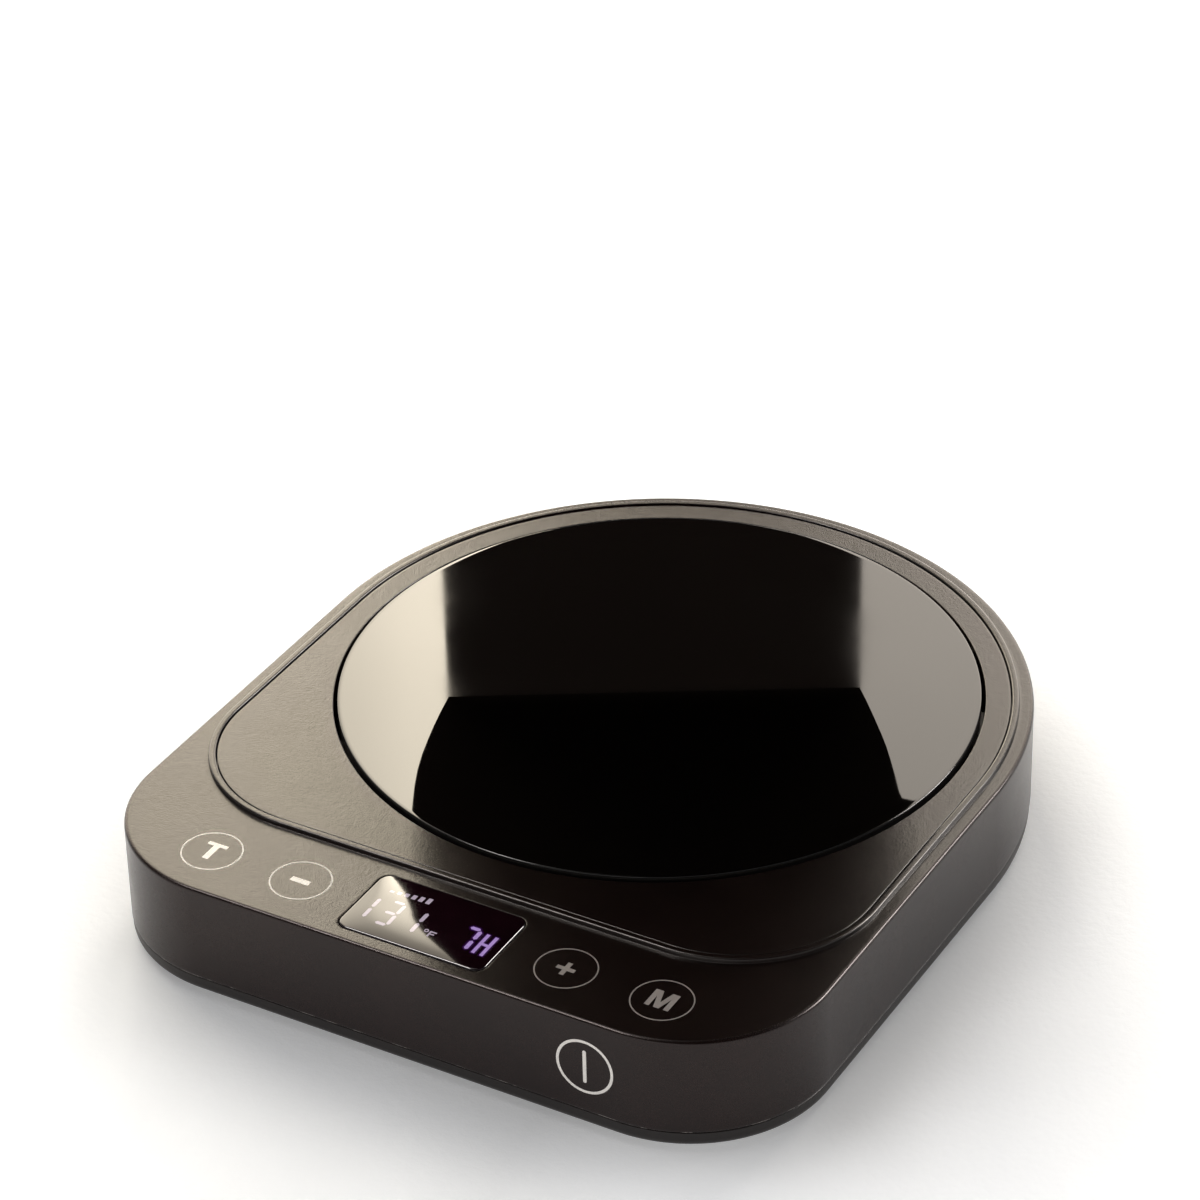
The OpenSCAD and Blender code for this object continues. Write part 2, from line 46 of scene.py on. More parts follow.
# ---------------------------------------------------------------------------
# Sizes, in millimetres, in the shared frame.
# ---------------------------------------------------------------------------
HW, FY, CY = 60.0, -70.0, 10.0
FRONT_R = 23.2
STRIP_Z = 20.5
SEAM_Z = 3.7
BASE_Z, BASE_R = 0.9, 1.5
FLOOR_Z = 3.5
WALL = 2.2
ROOF_Z = 18.1
RIM_X, RIM_Y, RIM_R = 57.7, -50.1, 23.5
RIM_W, RIM_H = 1.2, 0.8
PK_Z = 19.6
DECK_Z = 21.05
DECK_X, DECK_Y, DECK_R = 56.3, -48.7, 22.1
PLATE_R, HOLE_R = 51.6, 52.25
GLASS_Z0, GLASS_Z1 = 18.5, 21.5
WIN_W, WIN_D, WIN_R, WIN_Y = 25.4, 14.6, 2.0, -60.0
WIN_TOP, WIN_EDGE, LIP = 21.0, 20.66, 0.26
KEY_Y = -60.3
KEY_X = (-39.28, -23.15, 23.28, 39.43)
POWER_X, POWER_Z = 31.72, 12.03
CASE_P = [(-50.5, -40.0), (50.5, -40.0), (-38.8, 48.8), (38.8, 48.8)]
FOOT_P = [(-40.0, -50.0), (40.0, -50.0), (-27.0, 50.0), (27.0, 50.0)]
SK = 0.02      # the printed marks stand this proud of the skin


# ---------------------------------------------------------------------------
# Mesh code
# ---------------------------------------------------------------------------
def outline(w, f, r, d=0.0, nb=240, nc=44, ns=22, nf=44):
    """Plan of the body: straight front with round corners, straight sides and a
    half-round back. d moves it inwards. Every call gives matching points."""
    w, f, r = w - d, f + d, r - d
    p = []
    for i in range(nb):
        a = math.pi * i / nb
        p.append((w * math.cos(a), CY + w * math.sin(a)))
    for i in range(ns):
        p.append((-w, CY + (f + r - CY) * i / ns))
    for i in range(nc):
        a = math.pi + math.pi / 2 * i / nc
        p.append((-w + r + r * math.cos(a), f + r + r * math.sin(a)))
    for i in range(nf):
        p.append((-w + r + 2 * (w - r) * i / nf, f))
    for i in range(nc):
        a = 1.5 * math.pi + math.pi / 2 * i / nc
        p.append((w - r + r * math.cos(a), f + r + r * math.sin(a)))
    for i in range(ns):
        p.append((w, f + r + (CY - f - r) * i / ns))
    return p


def circle(r, cx=0.0, cy=0.0, n=64):
    return [(cx + r * math.cos(2 * math.pi * i / n), cy + r * math.sin(2 * math.pi * i / n))
            for i in range(n)]


def rrect(a, b, r, cx=0.0, cy=0.0, n=10, side=1):
    """Rectangle with round corners, anticlockwise, n steps a corner."""
    r = max(r, 0.001)
    p = []
    corners = [(a / 2 - r, b / 2 - r, 0.0), (-a / 2 + r, b / 2 - r, 90.0),
               (-a / 2 + r, -b / 2 + r, 180.0), (a / 2 - r, -b / 2 + r, 270.0)]
    for k, (x, y, a0) in enumerate(corners):
        for i in range(n + 1):
            t = math.radians(a0 + 90.0 * i / n)
            p.append((cx + x + r * math.cos(t), cy + y + r * math.sin(t)))
        if side > 1:
            x1, y1, a1 = corners[(k + 1) % 4]
            t = math.radians(a1)
            q0, q1 = p[-1], (cx + x1 + r * math.cos(t), cy + y1 + r * math.sin(t))
            for i in range(1, side):
                p.append((q0[0] + (q1[0] - q0[0]) * i / side, q0[1] + (q1[1] - q0[1]) * i / side))
    return p


def arc(cx, cz, r, a0, a1, n):
    """Points of an arc in a profile, angles in degrees."""
    return [(cx + r * math.cos(math.radians(a0 + (a1 - a0) * i / n)),
             cz + r * math.sin(math.radians(a0 + (a1 - a0) * i / n))) for i in range(n + 1)]


class Solid:
    """Collects vertices and faces in millimetres, then makes a closed mesh."""

    def __init__(self):
        self.v, self.f, self.m = [], [], []

    def ring(self, pts, z):
        s = len(self.v)
        self.v += [(p[0], p[1], z) for p in pts]
        return list(range(s, len(self.v)))

    def points(self, pts):
        s = len(self.v)
        self.v += [tuple(p) for p in pts]
        return list(range(s, len(self.v)))

    def band(self, a, b, m=0):
        n = len(a)
        for i in range(n):
            j = (i + 1) % n
            self.f.append((a[i], a[j], b[j], b[i]))
            self.m.append(m)

    def fill(self, *loops, m=0):
        """Flat face inside the first loop and outside all the others."""
        flat = [i for l in loops for i in l]
        co = [Vector((self.v[i][0], self.v[i][1])) for i in flat]
        faces, k = [], 0
        for l in loops:
            r = list(range(k, k + len(l)))
            k += len(l)
            if sum(co[i].x * co[j].y - co[j].x * co[i].y for i, j in zip(r, r[1:] + r[:1])) < 0:
                r.reverse()
            faces.append(r)
        out = geometry.delaunay_2d_cdt(co, [], faces, 1, 1e-9, True)
        if len(out[0]) != len(co):
            raise SystemExit("outlines of a flat face cross near " + str([tuple(v) for v, o in zip(out[0], out[3]) if not o]))
        for tri, src in zip(out[2], out[5]):
            if len(src) == 1:
                self.f.append(tuple(flat[out[3][i][0]] for i in tri))
                self.m.append(m)

    def fan(self, loop, m=0):
        self.f.append(tuple(loop))
        self.m.append(m)

    def chain(self, rings, m=0):
        for a, b in zip(rings, rings[1:]):
            self.band(a, b, m)

    def make(self, name, mats, sharp=38.0, weighted=True, matrix=None):
        me = bpy.data.meshes.new(name)
        me.from_pydata([(x * 0.001, y * 0.001, z * 0.001) for x, y, z in self.v], [], self.f)
        for p, m in zip(me.polygons, self.m):
            p.material_index = m
        bm = bmesh.new()
        bm.from_mesh(me)
        bmesh.ops.recalc_face_normals(bm, faces=bm.faces[:])
        if matrix is not None:
            bm.transform(matrix)
        bm.to_mesh(me)
        bm.free()
        me.shade_smooth()
        me.set_sharp_from_angle(angle=math.radians(sharp))
        for mat in mats:
            me.materials.append(mat)
        ob = bpy.data.objects.new(name, me)
        scene.collection.objects.link(ob)
        if weighted:
            mod = ob.modifiers.new("weighted_normals", "WEIGHTED_NORMAL")
            mod.mode = "FACE_AREA"
            mod.weight = 50
            mod.keep_sharp = True
        return ob


def lathe(s, profile, cx=0.0, cy=0.0, n=96, m=0, close=True):
    """Turns a profile of (radius, z) about a vertical axis. A radius of 0 at an
    end closes it with a disc."""
    rings = []
    for r, z in profile:
        if r > 0:
            rings.append(s.ring(circle(r, cx, cy, n), z))
        else:
            rings.append(None)
    for a, b in zip(rings, rings[1:]):
        if a is None and b is not None:
            s.fan(b, m)
        elif b is None and a is not None:
            s.fan(a, m)
        else:
            s.band(a, b, m)
    if close and rings[0] is not None and rings[-1] is not None:
        s.band(rings[-1], rings[0], m)
    return rings


def boxes(s, x0, y0, z0, x1, y1, z1, m=0):
    a = s.ring([(x0, y0), (x1, y0), (x1, y1), (x0, y1)], z0)
    b = s.ring([(x0, y0), (x1, y0), (x1, y1), (x0, y1)], z1)
    s.band(a, b, m)
    s.fan(a, m)
    s.fan(b, m)


def cut(ob, cutter, operation="DIFFERENCE"):
    """Cuts one closed mesh from another, or joins them, and keeps the result as plain mesh."""
    for m in list(ob.modifiers):
        ob.modifiers.remove(m)
    mod = ob.modifiers.new("cut", "BOOLEAN")
    mod.operation = operation
    mod.solver = "EXACT"
    mod.object = cutter
    dg = bpy.context.evaluated_depsgraph_get()
    new = bpy.data.meshes.new_from_object(ob.evaluated_get(dg))
    ob.modifiers.remove(mod)
    old = ob.data
    name = old.name
    ob.data = new
    bpy.data.meshes.remove(old)
    new.name = name
    new.shade_smooth()
    new.set_sharp_from_angle(angle=math.radians(38.0))
    mod = ob.modifiers.new("weighted_normals", "WEIGHTED_NORMAL")
    mod.mode = "FACE_AREA"
    mod.weight = 50
    mod.keep_sharp = True
    me = cutter.data
    bpy.data.objects.remove(cutter)
    bpy.data.meshes.remove(me)


# ---------------------------------------------------------------------------
# Materials: all procedural, in object space, sizes in metres
# ---------------------------------------------------------------------------
def rgb(c):
    return (c[0], c[1], c[2], 1.0)


class Mat:
    def __init__(self, name):
        self.mat = bpy.data.materials.new(name)
        self.mat.use_nodes = True
        self.nt = self.mat.node_tree
        self.bsdf = self.nt.nodes["Principled BSDF"]
        self.co = self.nt.nodes.new("ShaderNodeTexCoord").outputs["Object"]
        self.last_normal = None

    def node(self, kind, **kw):
        n = self.nt.nodes.new(kind)
        for k, v in kw.items():
            if k in n.inputs:
                n.inputs[k].default_value = v
            else:
                setattr(n, k, v)
        return n

    def link(self, a, b):
        self.nt.links.new(a, b)

    def scaled(self, scale):
        """Object coordinates stretched by scale = (x, y, z)."""
        m = self.nt.nodes.new("ShaderNodeMapping")
        m.inputs["Scale"].default_value = scale
        self.link(self.co, m.inputs["Vector"])
        return m.outputs["Vector"]

    def noise(self, scale, detail=2.0, rough=0.5, vec=None, distortion=0.0):
        n = self.node("ShaderNodeTexNoise")
        n.inputs["Scale"].default_value = scale
        n.inputs["Detail"].default_value = detail
        n.inputs["Roughness"].default_value = rough
        n.inputs["Distortion"].default_value = distortion
        self.link(vec or self.co, n.inputs["Vector"])
        return n.outputs["Fac"]

    def voronoi(self, scale, feature="F1", vec=None, out="Distance"):
        n = self.node("ShaderNodeTexVoronoi", feature=feature)
        n.inputs["Scale"].default_value = scale
        self.link(vec or self.co, n.inputs["Vector"])
        return n.outputs[out]

    def wave(self, scale, direction="X", vec=None, distortion=0.0, kind="BANDS", profile="SIN"):
        n = self.node("ShaderNodeTexWave", wave_type=kind, wave_profile=profile)
        if kind == "BANDS":
            n.bands_direction = direction
        else:
            n.rings_direction = direction
        n.inputs["Scale"].default_value = scale
        n.inputs["Distortion"].default_value = distortion
        self.link(vec or self.co, n.inputs["Vector"])
        return n.outputs["Fac"]

    def ramp(self, fac, stops):
        n = self.nt.nodes.new("ShaderNodeValToRGB")
        e = n.color_ramp.elements
        e[0].position, e[0].color = stops[0][0], rgb(stops[0][1])
        e[1].position, e[1].color = stops[-1][0], rgb(stops[-1][1])
        for p, c in stops[1:-1]:
            x = e.new(p)
            x.color = rgb(c)
        self.link(fac, n.inputs["Fac"])
        return n.outputs["Color"]

    def map(self, value, a, b, c, d):
        n = self.node("ShaderNodeMapRange")
        n.inputs["From Min"].default_value = a
        n.inputs["From Max"].default_value = b
        n.inputs["To Min"].default_value = c
        n.inputs["To Max"].default_value = d
        self.link(value, n.inputs["Value"])
        return n.outputs["Result"]

    def math(self, op, a, b):
        n = self.node("ShaderNodeMath", operation=op)
        for i, x in enumerate((a, b)):
            if isinstance(x, (int, float)):
                n.inputs[i].default_value = x
            else:
                self.link(x, n.inputs[i])
        return n.outputs[0]

    def mix(self, fac, a, b):
        n = self.nt.nodes.new("ShaderNodeMix")
        n.data_type = "RGBA"
        if isinstance(fac, (int, float)):
            n.inputs[0].default_value = fac
        else:
            self.link(fac, n.inputs[0])
        for i, x in ((6, a), (7, b)):
            if isinstance(x, (tuple, list)):
                n.inputs[i].default_value = rgb(x)
            else:
                self.link(x, n.inputs[i])
        return n.outputs[2]

    def bump(self, height, distance, strength=1.0):
        n = self.nt.nodes.new("ShaderNodeBump")
        n.inputs["Distance"].default_value = distance
        n.inputs["Strength"].default_value = strength
        self.link(height, n.inputs["Height"])
        if self.last_normal is not None:
            self.link(self.last_normal, n.inputs["Normal"])
        self.last_normal = n.outputs["Normal"]
        self.link(self.last_normal, self.bsdf.inputs["Normal"])

    def set(self, **kw):
        for k, v in kw.items():
            s = self.bsdf.inputs[k.replace("_", " ")]
            s.default_value = rgb(v) if isinstance(v, (tuple, list)) and len(v) == 3 else v

    def color(self, out):
        self.link(out, self.bsdf.inputs["Base Color"])

    def rough(self, out):
        self.link(out, self.bsdf.inputs["Roughness"])


def moulded(name, base, rough, grain=4200.0, depth=0.000012, spread=0.06, dust=0.0, ior=1.5, mottle=0.25,
            level=0.5, tint=(1.0, 1.0, 1.0), sand=0.0, seam_glint=None):
    """Injection-moulded plastic: a fine spark-eroded texture, slow change in tone,
    and a trace of wear in the roughness."""
    m = Mat(name)
    fine = m.noise(grain, 3.0, 0.6)
    slow = m.noise(95.0, 3.0, 0.55)
    mid = m.noise(900.0, 2.0, 0.5)
    lo = tuple(x * (1.0 - mottle) for x in base)
    hi = tuple(x * (1.0 + mottle) for x in base)
    tone = m.ramp(m.math("ADD", m.math("MULTIPLY", slow, 0.6), m.math("MULTIPLY", mid, 0.4)),
                  [(0.35, lo), (0.65, hi)])
    if dust > 0:
        specks = m.ramp(m.voronoi(1150.0), [(0.0, (1, 1, 1)), (0.035, (0, 0, 0))])
        gate = m.ramp(m.noise(210.0, 1.0), [(0.56, (0, 0, 0)), (0.60, (1, 1, 1))])
        both = m.math("MULTIPLY", specks, gate)
        tone = m.mix(m.math("MULTIPLY", both, dust), tone, (0.55, 0.53, 0.50))
    if seam_glint:
        # painted highlight: the edge of the joint is painted pale in short stretches, standing in for the broken glint
        # along the seam
        sep = m.nt.nodes.new("ShaderNodeSeparateXYZ")
        m.link(m.co, sep.inputs[0])
        z0, z1 = seam_glint[0] * 0.001, seam_glint[1] * 0.001
        e = (z1 - z0) * 0.25
        band = m.math("MULTIPLY", m.map(sep.outputs["Z"], z0, z0 + e, 0.0, 1.0), m.map(sep.outputs["Z"], z1 - e, z1, 1.0, 0.0))
        rub = m.ramp(m.noise(330.0, 3.0, 0.75), [(0.50, (0, 0, 0)), (0.62, (1, 1, 1))])
        tone = m.mix(m.math("MULTIPLY", band, m.math("MULTIPLY", rub, 0.8)), tone, (0.30, 0.27, 0.25))
    m.color(tone)
    m.rough(m.map(m.math("ADD", m.math("MULTIPLY", slow, 0.5), m.math("MULTIPLY", fine, 0.5)),
                  0.3, 0.7, rough - spread, rough + spread))
    m.set(IOR=ior, Specular_IOR_Level=level, Specular_Tint=tint)
    m.bump(fine, depth, 1.0)
    m.bump(mid, depth * 1.2, 1.0)
    if sand > 0:
        m.bump(m.noise(2900.0, 1.0, 0.5), sand, 1.0)
    return m.mat


def build_materials():
    M = {}
    M["casing"] = moulded("casing_plastic", (0.0078, 0.0020, 0.0013), 0.245, 4300.0, 0.000014, 0.03, 0.22,
                          tint=(1.0, 0.97, 0.93), sand=0.000014)
    # the wall carries a painted highlight: pale broken flecks in a band along the joint's lower lip
    M["wall"] = moulded("casing_wall_plastic", (0.0092, 0.0040, 0.0034), 0.27, 5200.0, 0.000007, 0.04, 0.30,
                        level=0.32, tint=(1.0, 0.90, 0.88), seam_glint=(3.78, 4.02))
    M["deck"] = moulded("deck_plastic", (0.0076, 0.0020, 0.0013), 0.245, 4300.0, 0.000014, 0.03, 0.15,
                        tint=(1.0, 0.97, 0.93), sand=0.000014)
    M["base"] = moulded("base_plastic", (0.0110, 0.0070, 0.0060), 0.40, 3600.0, 0.000018, 0.06, 0.12, level=0.40)
    M["inner"] = moulded("casing_inner_plastic", (0.0120, 0.0100, 0.0090), 0.50, 2500.0, 0.00001, 0.06)

    # polished black glass, very faint haze and a few specks
    m = Mat("black_glass")
    haze = m.noise(38.0, 4.0, 0.6)
    fine = m.noise(2600.0, 2.0, 0.5)
    m.color(m.ramp(fine, [(0.3, (0.0035, 0.0026, 0.0024)), (0.7, (0.0050, 0.0038, 0.0034))]))
    m.rough(m.map(haze, 0.35, 0.7, 0.020, 0.042))
    m.set(IOR=1.50, Specular_IOR_Level=0.44)
    m.bump(m.noise(26.0, 2.0, 0.5), 0.0000012, 1.0)
    M["glass"] = m.mat

    m = Mat("glass_ground_edge")
    g = m.noise(5200.0, 3.0, 0.6)
    m.color(m.ramp(g, [(0.3, (0.010, 0.009, 0.008)), (0.7, (0.022, 0.020, 0.018))]))
    m.rough(m.map(g, 0.3, 0.7, 0.30, 0.46))
    m.bump(g, 0.000012, 1.0)
    M["glass_edge"] = m.mat

    # smoked window over the display
    m = Mat("smoked_window")
    haze = m.noise(120.0, 3.0, 0.5)
    m.color(m.ramp(m.noise(420.0, 3.0, 0.5), [(0.3, (0.0085, 0.0016, 0.0042)), (0.7, (0.0125, 0.0026, 0.0066))]))
    m.rough(m.map(haze, 0.35, 0.65, 0.045, 0.085))
    m.set(IOR=1.52, Coat_Weight=0.25, Coat_Roughness=0.04)
    M["window"] = m.mat

    def lit(name, color, strength, base):
        m = Mat(name)
        g = m.noise(2200.0, 2.0, 0.5)
        lo = tuple(c * 0.86 for c in color)
        hi = tuple(min(1.0, c * 1.10) for c in color)
        m.color(m.ramp(g, [(0.3, base), (0.7, tuple(b * 1.4 for b in base))]))
        m.link(m.ramp(g, [(0.3, lo), (0.7, hi)]), m.bsdf.inputs["Emission Color"])
        m.set(Emission_Strength=strength, Roughness=0.06, IOR=1.52, Coat_Weight=0.25, Coat_Roughness=0.04)
        return m.mat
    M["lit_violet"] = lit("display_violet", (0.50, 0.33, 0.74), 0.72, (0.012, 0.004, 0.012))
    M["lit_pale"] = lit("display_pale", (0.64, 0.54, 0.66), 0.62, (0.012, 0.004, 0.012))
    M["lit_glow"] = lit("display_glow", (0.075, 0.008, 0.17), 0.20, (0.010, 0.002, 0.010))

    # printed marks: slightly uneven screen-print ink. Its glow is painted light: an emission on the ink, which is no
    # lamp.
    def ink(name, lo, hi, glow):
        m = Mat(name)
        g = m.noise(5200.0, 3.0, 0.6)
        m.color(m.ramp(g, [(0.25, lo), (0.6, hi)]))
        m.rough(m.map(g, 0.3, 0.7, 0.38, 0.55))
        m.set(Emission_Color=(1.0, 0.96, 0.89), Emission_Strength=glow)
        m.bump(g, 0.000006, 1.0)
        return m.mat
    # one printed ink in painted copies: the power mark's ink glows faintly, painted light; the pale copy that glows is
    # painted light for T and minus, and the grey copy is painted shade for plus and M
    M["ink"] = ink("mark_ink", (0.70, 0.66, 0.62), (0.84, 0.80, 0.76), 0.05)
    M["ink_painted_lit"] = ink("mark_ink_painted_lit", (0.84, 0.82, 0.77), (0.94, 0.92, 0.87), 0.26)
    M["ink_painted_shade"] = ink("mark_ink_painted_shade", (0.40, 0.365, 0.36), (0.50, 0.46, 0.45), 0.0)

    M["rubber"] = moulded("foot_rubber", (0.020, 0.019, 0.018), 0.72, 2600.0, 0.00003, 0.08, 0.35, 1.45)

    def metal(name, base, rough, streak=(1.0, 1.0, 1.0), scale=3000.0, depth=0.000006, extra=None):
        m = Mat(name)
        v = m.scaled(streak)
        g = m.noise(scale, 3.0, 0.6, vec=v)
        slow = m.noise(160.0, 3.0, 0.6)
        lo = tuple(c * 0.80 for c in base)
        m.color(m.ramp(m.math("ADD", m.math("MULTIPLY", g, 0.5), m.math("MULTIPLY", slow, 0.5)),
                       [(0.3, lo), (0.7, base)]))
        m.rough(m.map(g, 0.3, 0.7, rough - 0.08, rough + 0.10))
        m.set(Metallic=1.0)
        m.bump(g, depth, 1.0)
        return m.mat
    M["zinc"] = metal("screw_zinc", (0.62, 0.60, 0.56), 0.34, (1, 1, 1), 1800.0)
    M["spring"] = metal("spring_wire", (0.66, 0.65, 0.63), 0.24, (1, 1, 0.2), 4200.0)
    M["aluminium"] = metal("aluminium_sheet", (0.80, 0.80, 0.79), 0.32, (1.0, 0.04, 1.0), 2600.0)
    M["cutout"] = metal("cutout_case", (0.72, 0.72, 0.73), 0.26, (0.2, 1, 1), 3500.0)

    def board(name, base, line, scale):
        """Solder resist: tracks show as faint relief, with a woven ground."""
        m = Mat(name)
        brick = m.node("ShaderNodeTexBrick")
        brick.inputs["Scale"].default_value = scale
        brick.inputs["Mortar Size"].default_value = 0.09
        brick.inputs["Mortar Smooth"].default_value = 0.2
        brick.inputs["Brick Width"].default_value = 0.9
        brick.inputs["Row Height"].default_value = 0.32
        m.link(m.co, brick.inputs["Vector"])
        tracks = brick.outputs["Fac"]
        gate = m.ramp(m.noise(130.0, 2.0), [(0.44, (0, 0, 0)), (0.50, (1, 1, 1))])
        t = m.math("MULTIPLY", tracks, gate)
        weave = m.noise(2600.0, 2.0, 0.5)
        ground = m.ramp(weave, [(0.3, tuple(c * 0.85 for c in base)), (0.7, tuple(c * 1.12 for c in base))])
        m.color(m.mix(t, ground, line))
        m.rough(m.map(weave, 0.3, 0.7, 0.26, 0.40))
        m.set(Coat_Weight=0.2, Coat_Roughness=0.2)
        m.bump(t, 0.00003, 1.0)
        m.bump(weave, 0.000006, 1.0)
        return m.mat
    M["board_green"] = board("board_green", (0.012, 0.110, 0.045), (0.030, 0.190, 0.075), 260.0)
    M["board_tan"] = board("board_tan", (0.330, 0.215, 0.085), (0.46, 0.30, 0.11), 190.0)

    def glossy(name, base, rough, scale=1400.0, depth=0.00001, mottle=0.12, coat=0.3, sss=0.0):
        m = Mat(name)
        g = m.noise(scale, 3.0, 0.55)
        slow = m.noise(220.0, 3.0, 0.5)
        lo = tuple(c * (1 - mottle) for c in base)
        hi = tuple(min(1.0, c * (1 + mottle)) for c in base)
        m.color(m.ramp(slow, [(0.3, lo), (0.7, hi)]))
        m.rough(m.map(g, 0.3, 0.7, rough - 0.06, rough + 0.08))
        m.set(Coat_Weight=coat, Coat_Roughness=0.15)
        m.bump(g, depth, 1.0)
        return m.mat
    M["chip"] = glossy("chip_epoxy", (0.018, 0.018, 0.019), 0.45, 3800.0, 0.000015, 0.15, 0.0)
    M["nylon"] = glossy("socket_nylon", (0.72, 0.68, 0.55), 0.38, 1200.0, 0.000012, 0.06)
    M["cap_yellow"] = glossy("capacitor_yellow", (0.62, 0.36, 0.035), 0.34, 900.0, 0.00002, 0.10)
    M["cap_sleeve"] = glossy("capacitor_sleeve", (0.020, 0.028, 0.13), 0.28, 700.0, 0.00003, 0.15)
    M["fuse"] = glossy("fuse_ceramic", (0.70, 0.66, 0.56), 0.22, 1600.0, 0.000008, 0.08, 0.5)
    M["varistor"] = glossy("varistor_blue", (0.018, 0.075, 0.30), 0.30, 800.0, 0.00003, 0.15)
    M["terminal"] = glossy("terminal_green", (0.018, 0.15, 0.055), 0.36, 1300.0, 0.000012, 0.10)
    M["display_white"] = glossy("display_white", (0.74, 0.73, 0.69), 0.40, 1800.0, 0.00001, 0.05)
    M["plunger"] = glossy("plunger_red", (0.45, 0.030, 0.020), 0.30, 1500.0, 0.00001, 0.08)
    M["lead_white"] = glossy("lead_white", (0.74, 0.71, 0.64), 0.52, 2600.0, 0.00002, 0.08, 0.0)
    M["lead_red"] = glossy("lead_red", (0.42, 0.020, 0.016), 0.50, 2600.0, 0.00002, 0.10, 0.0)
    M["bead"] = glossy("sensor_bead", (0.065, 0.026, 0.010), 0.26, 900.0, 0.00003, 0.25, 0.5)
    M["carrier"] = moulded("carrier_plastic", (0.022, 0.021, 0.020), 0.50, 2400.0, 0.00002, 0.08)

    # foam gasket: open cells
    m = Mat("gasket_foam")
    cells = m.voronoi(2600.0)
    m.color(m.ramp(cells, [(0.0, (0.010, 0.010, 0.010)), (0.5, (0.045, 0.045, 0.045))]))
    m.set(Roughness=0.95)
    m.bump(cells, 0.00012, 1.0)
    M["foam"] = m.mat

    # felted ceramic fibre
    m = Mat("ceramic_fibre")
    f1 = m.noise(900.0, 6.0, 0.7, distortion=1.6)
    f2 = m.noise(3600.0, 4.0, 0.7, vec=m.scaled((1.0, 0.18, 1.0)))
    both = m.math("ADD", m.math("MULTIPLY", f1, 0.5), m.math("MULTIPLY", f2, 0.5))
    m.color(m.ramp(both, [(0.30, (0.58, 0.55, 0.49)), (0.70, (0.86, 0.84, 0.79))]))
    m.set(Roughness=0.92, Sheen_Weight=0.3, Sheen_Roughness=0.5)
    m.bump(both, 0.00022, 1.0)
    M["fibre"] = m.mat

    # mica sheet with flakes
    m = Mat("mica_sheet")
    fl = m.voronoi(620.0, out="Color")
    sep = m.nt.nodes.new("ShaderNodeSeparateColor")
    m.link(fl, sep.inputs["Color"])
    flk = sep.outputs[0]
    m.color(m.ramp(flk, [(0.0, (0.28, 0.20, 0.11)), (0.5, (0.42, 0.33, 0.20)), (1.0, (0.56, 0.47, 0.32))]))
    m.rough(m.map(flk, 0.0, 1.0, 0.22, 0.50))
    m.bump(flk, 0.00002, 1.0)
    M["mica"] = m.mat

    # flat cable: parallel cores as ribs
    m = Mat("flat_cable")
    ribs = m.wave(157.0, "X", profile="SIN")
    g = m.noise(1800.0, 2.0)
    m.color(m.ramp(ribs, [(0.0, (0.26, 0.26, 0.27)), (1.0, (0.46, 0.46, 0.47))]))
    m.rough(m.map(g, 0.3, 0.7, 0.32, 0.46))
    m.bump(ribs, 0.00012, 1.0)
    M["cable"] = m.mat
    return M


M = build_materials()


# ---------------------------------------------------------------------------
# Casing
# ---------------------------------------------------------------------------
def window_height(x, y):
    """Height of the window's crowned face, with its small round lip."""
    qx = abs(x) - (WIN_W / 2 - WIN_R)
    qy = abs(y - WIN_Y) - (WIN_D / 2 - WIN_R)
    out = math.hypot(max(qx, 0.0), max(qy, 0.0)) + min(max(qx, qy), 0.0) - WIN_R
    t = min(max(-out, 0.0) / LIP, 1.0)
    u, v = min(abs(x) / (WIN_W / 2), 1.0), min(abs(y - WIN_Y) / (WIN_D / 2), 1.0)
    crown = (WIN_TOP - WIN_EDGE) * (1.0 - u ** 5) * (1.0 - v ** 2.6)
    return WIN_EDGE - LIP + LIP * math.sqrt(max(0.0, 1.0 - (1.0 - t) ** 2)) + crown


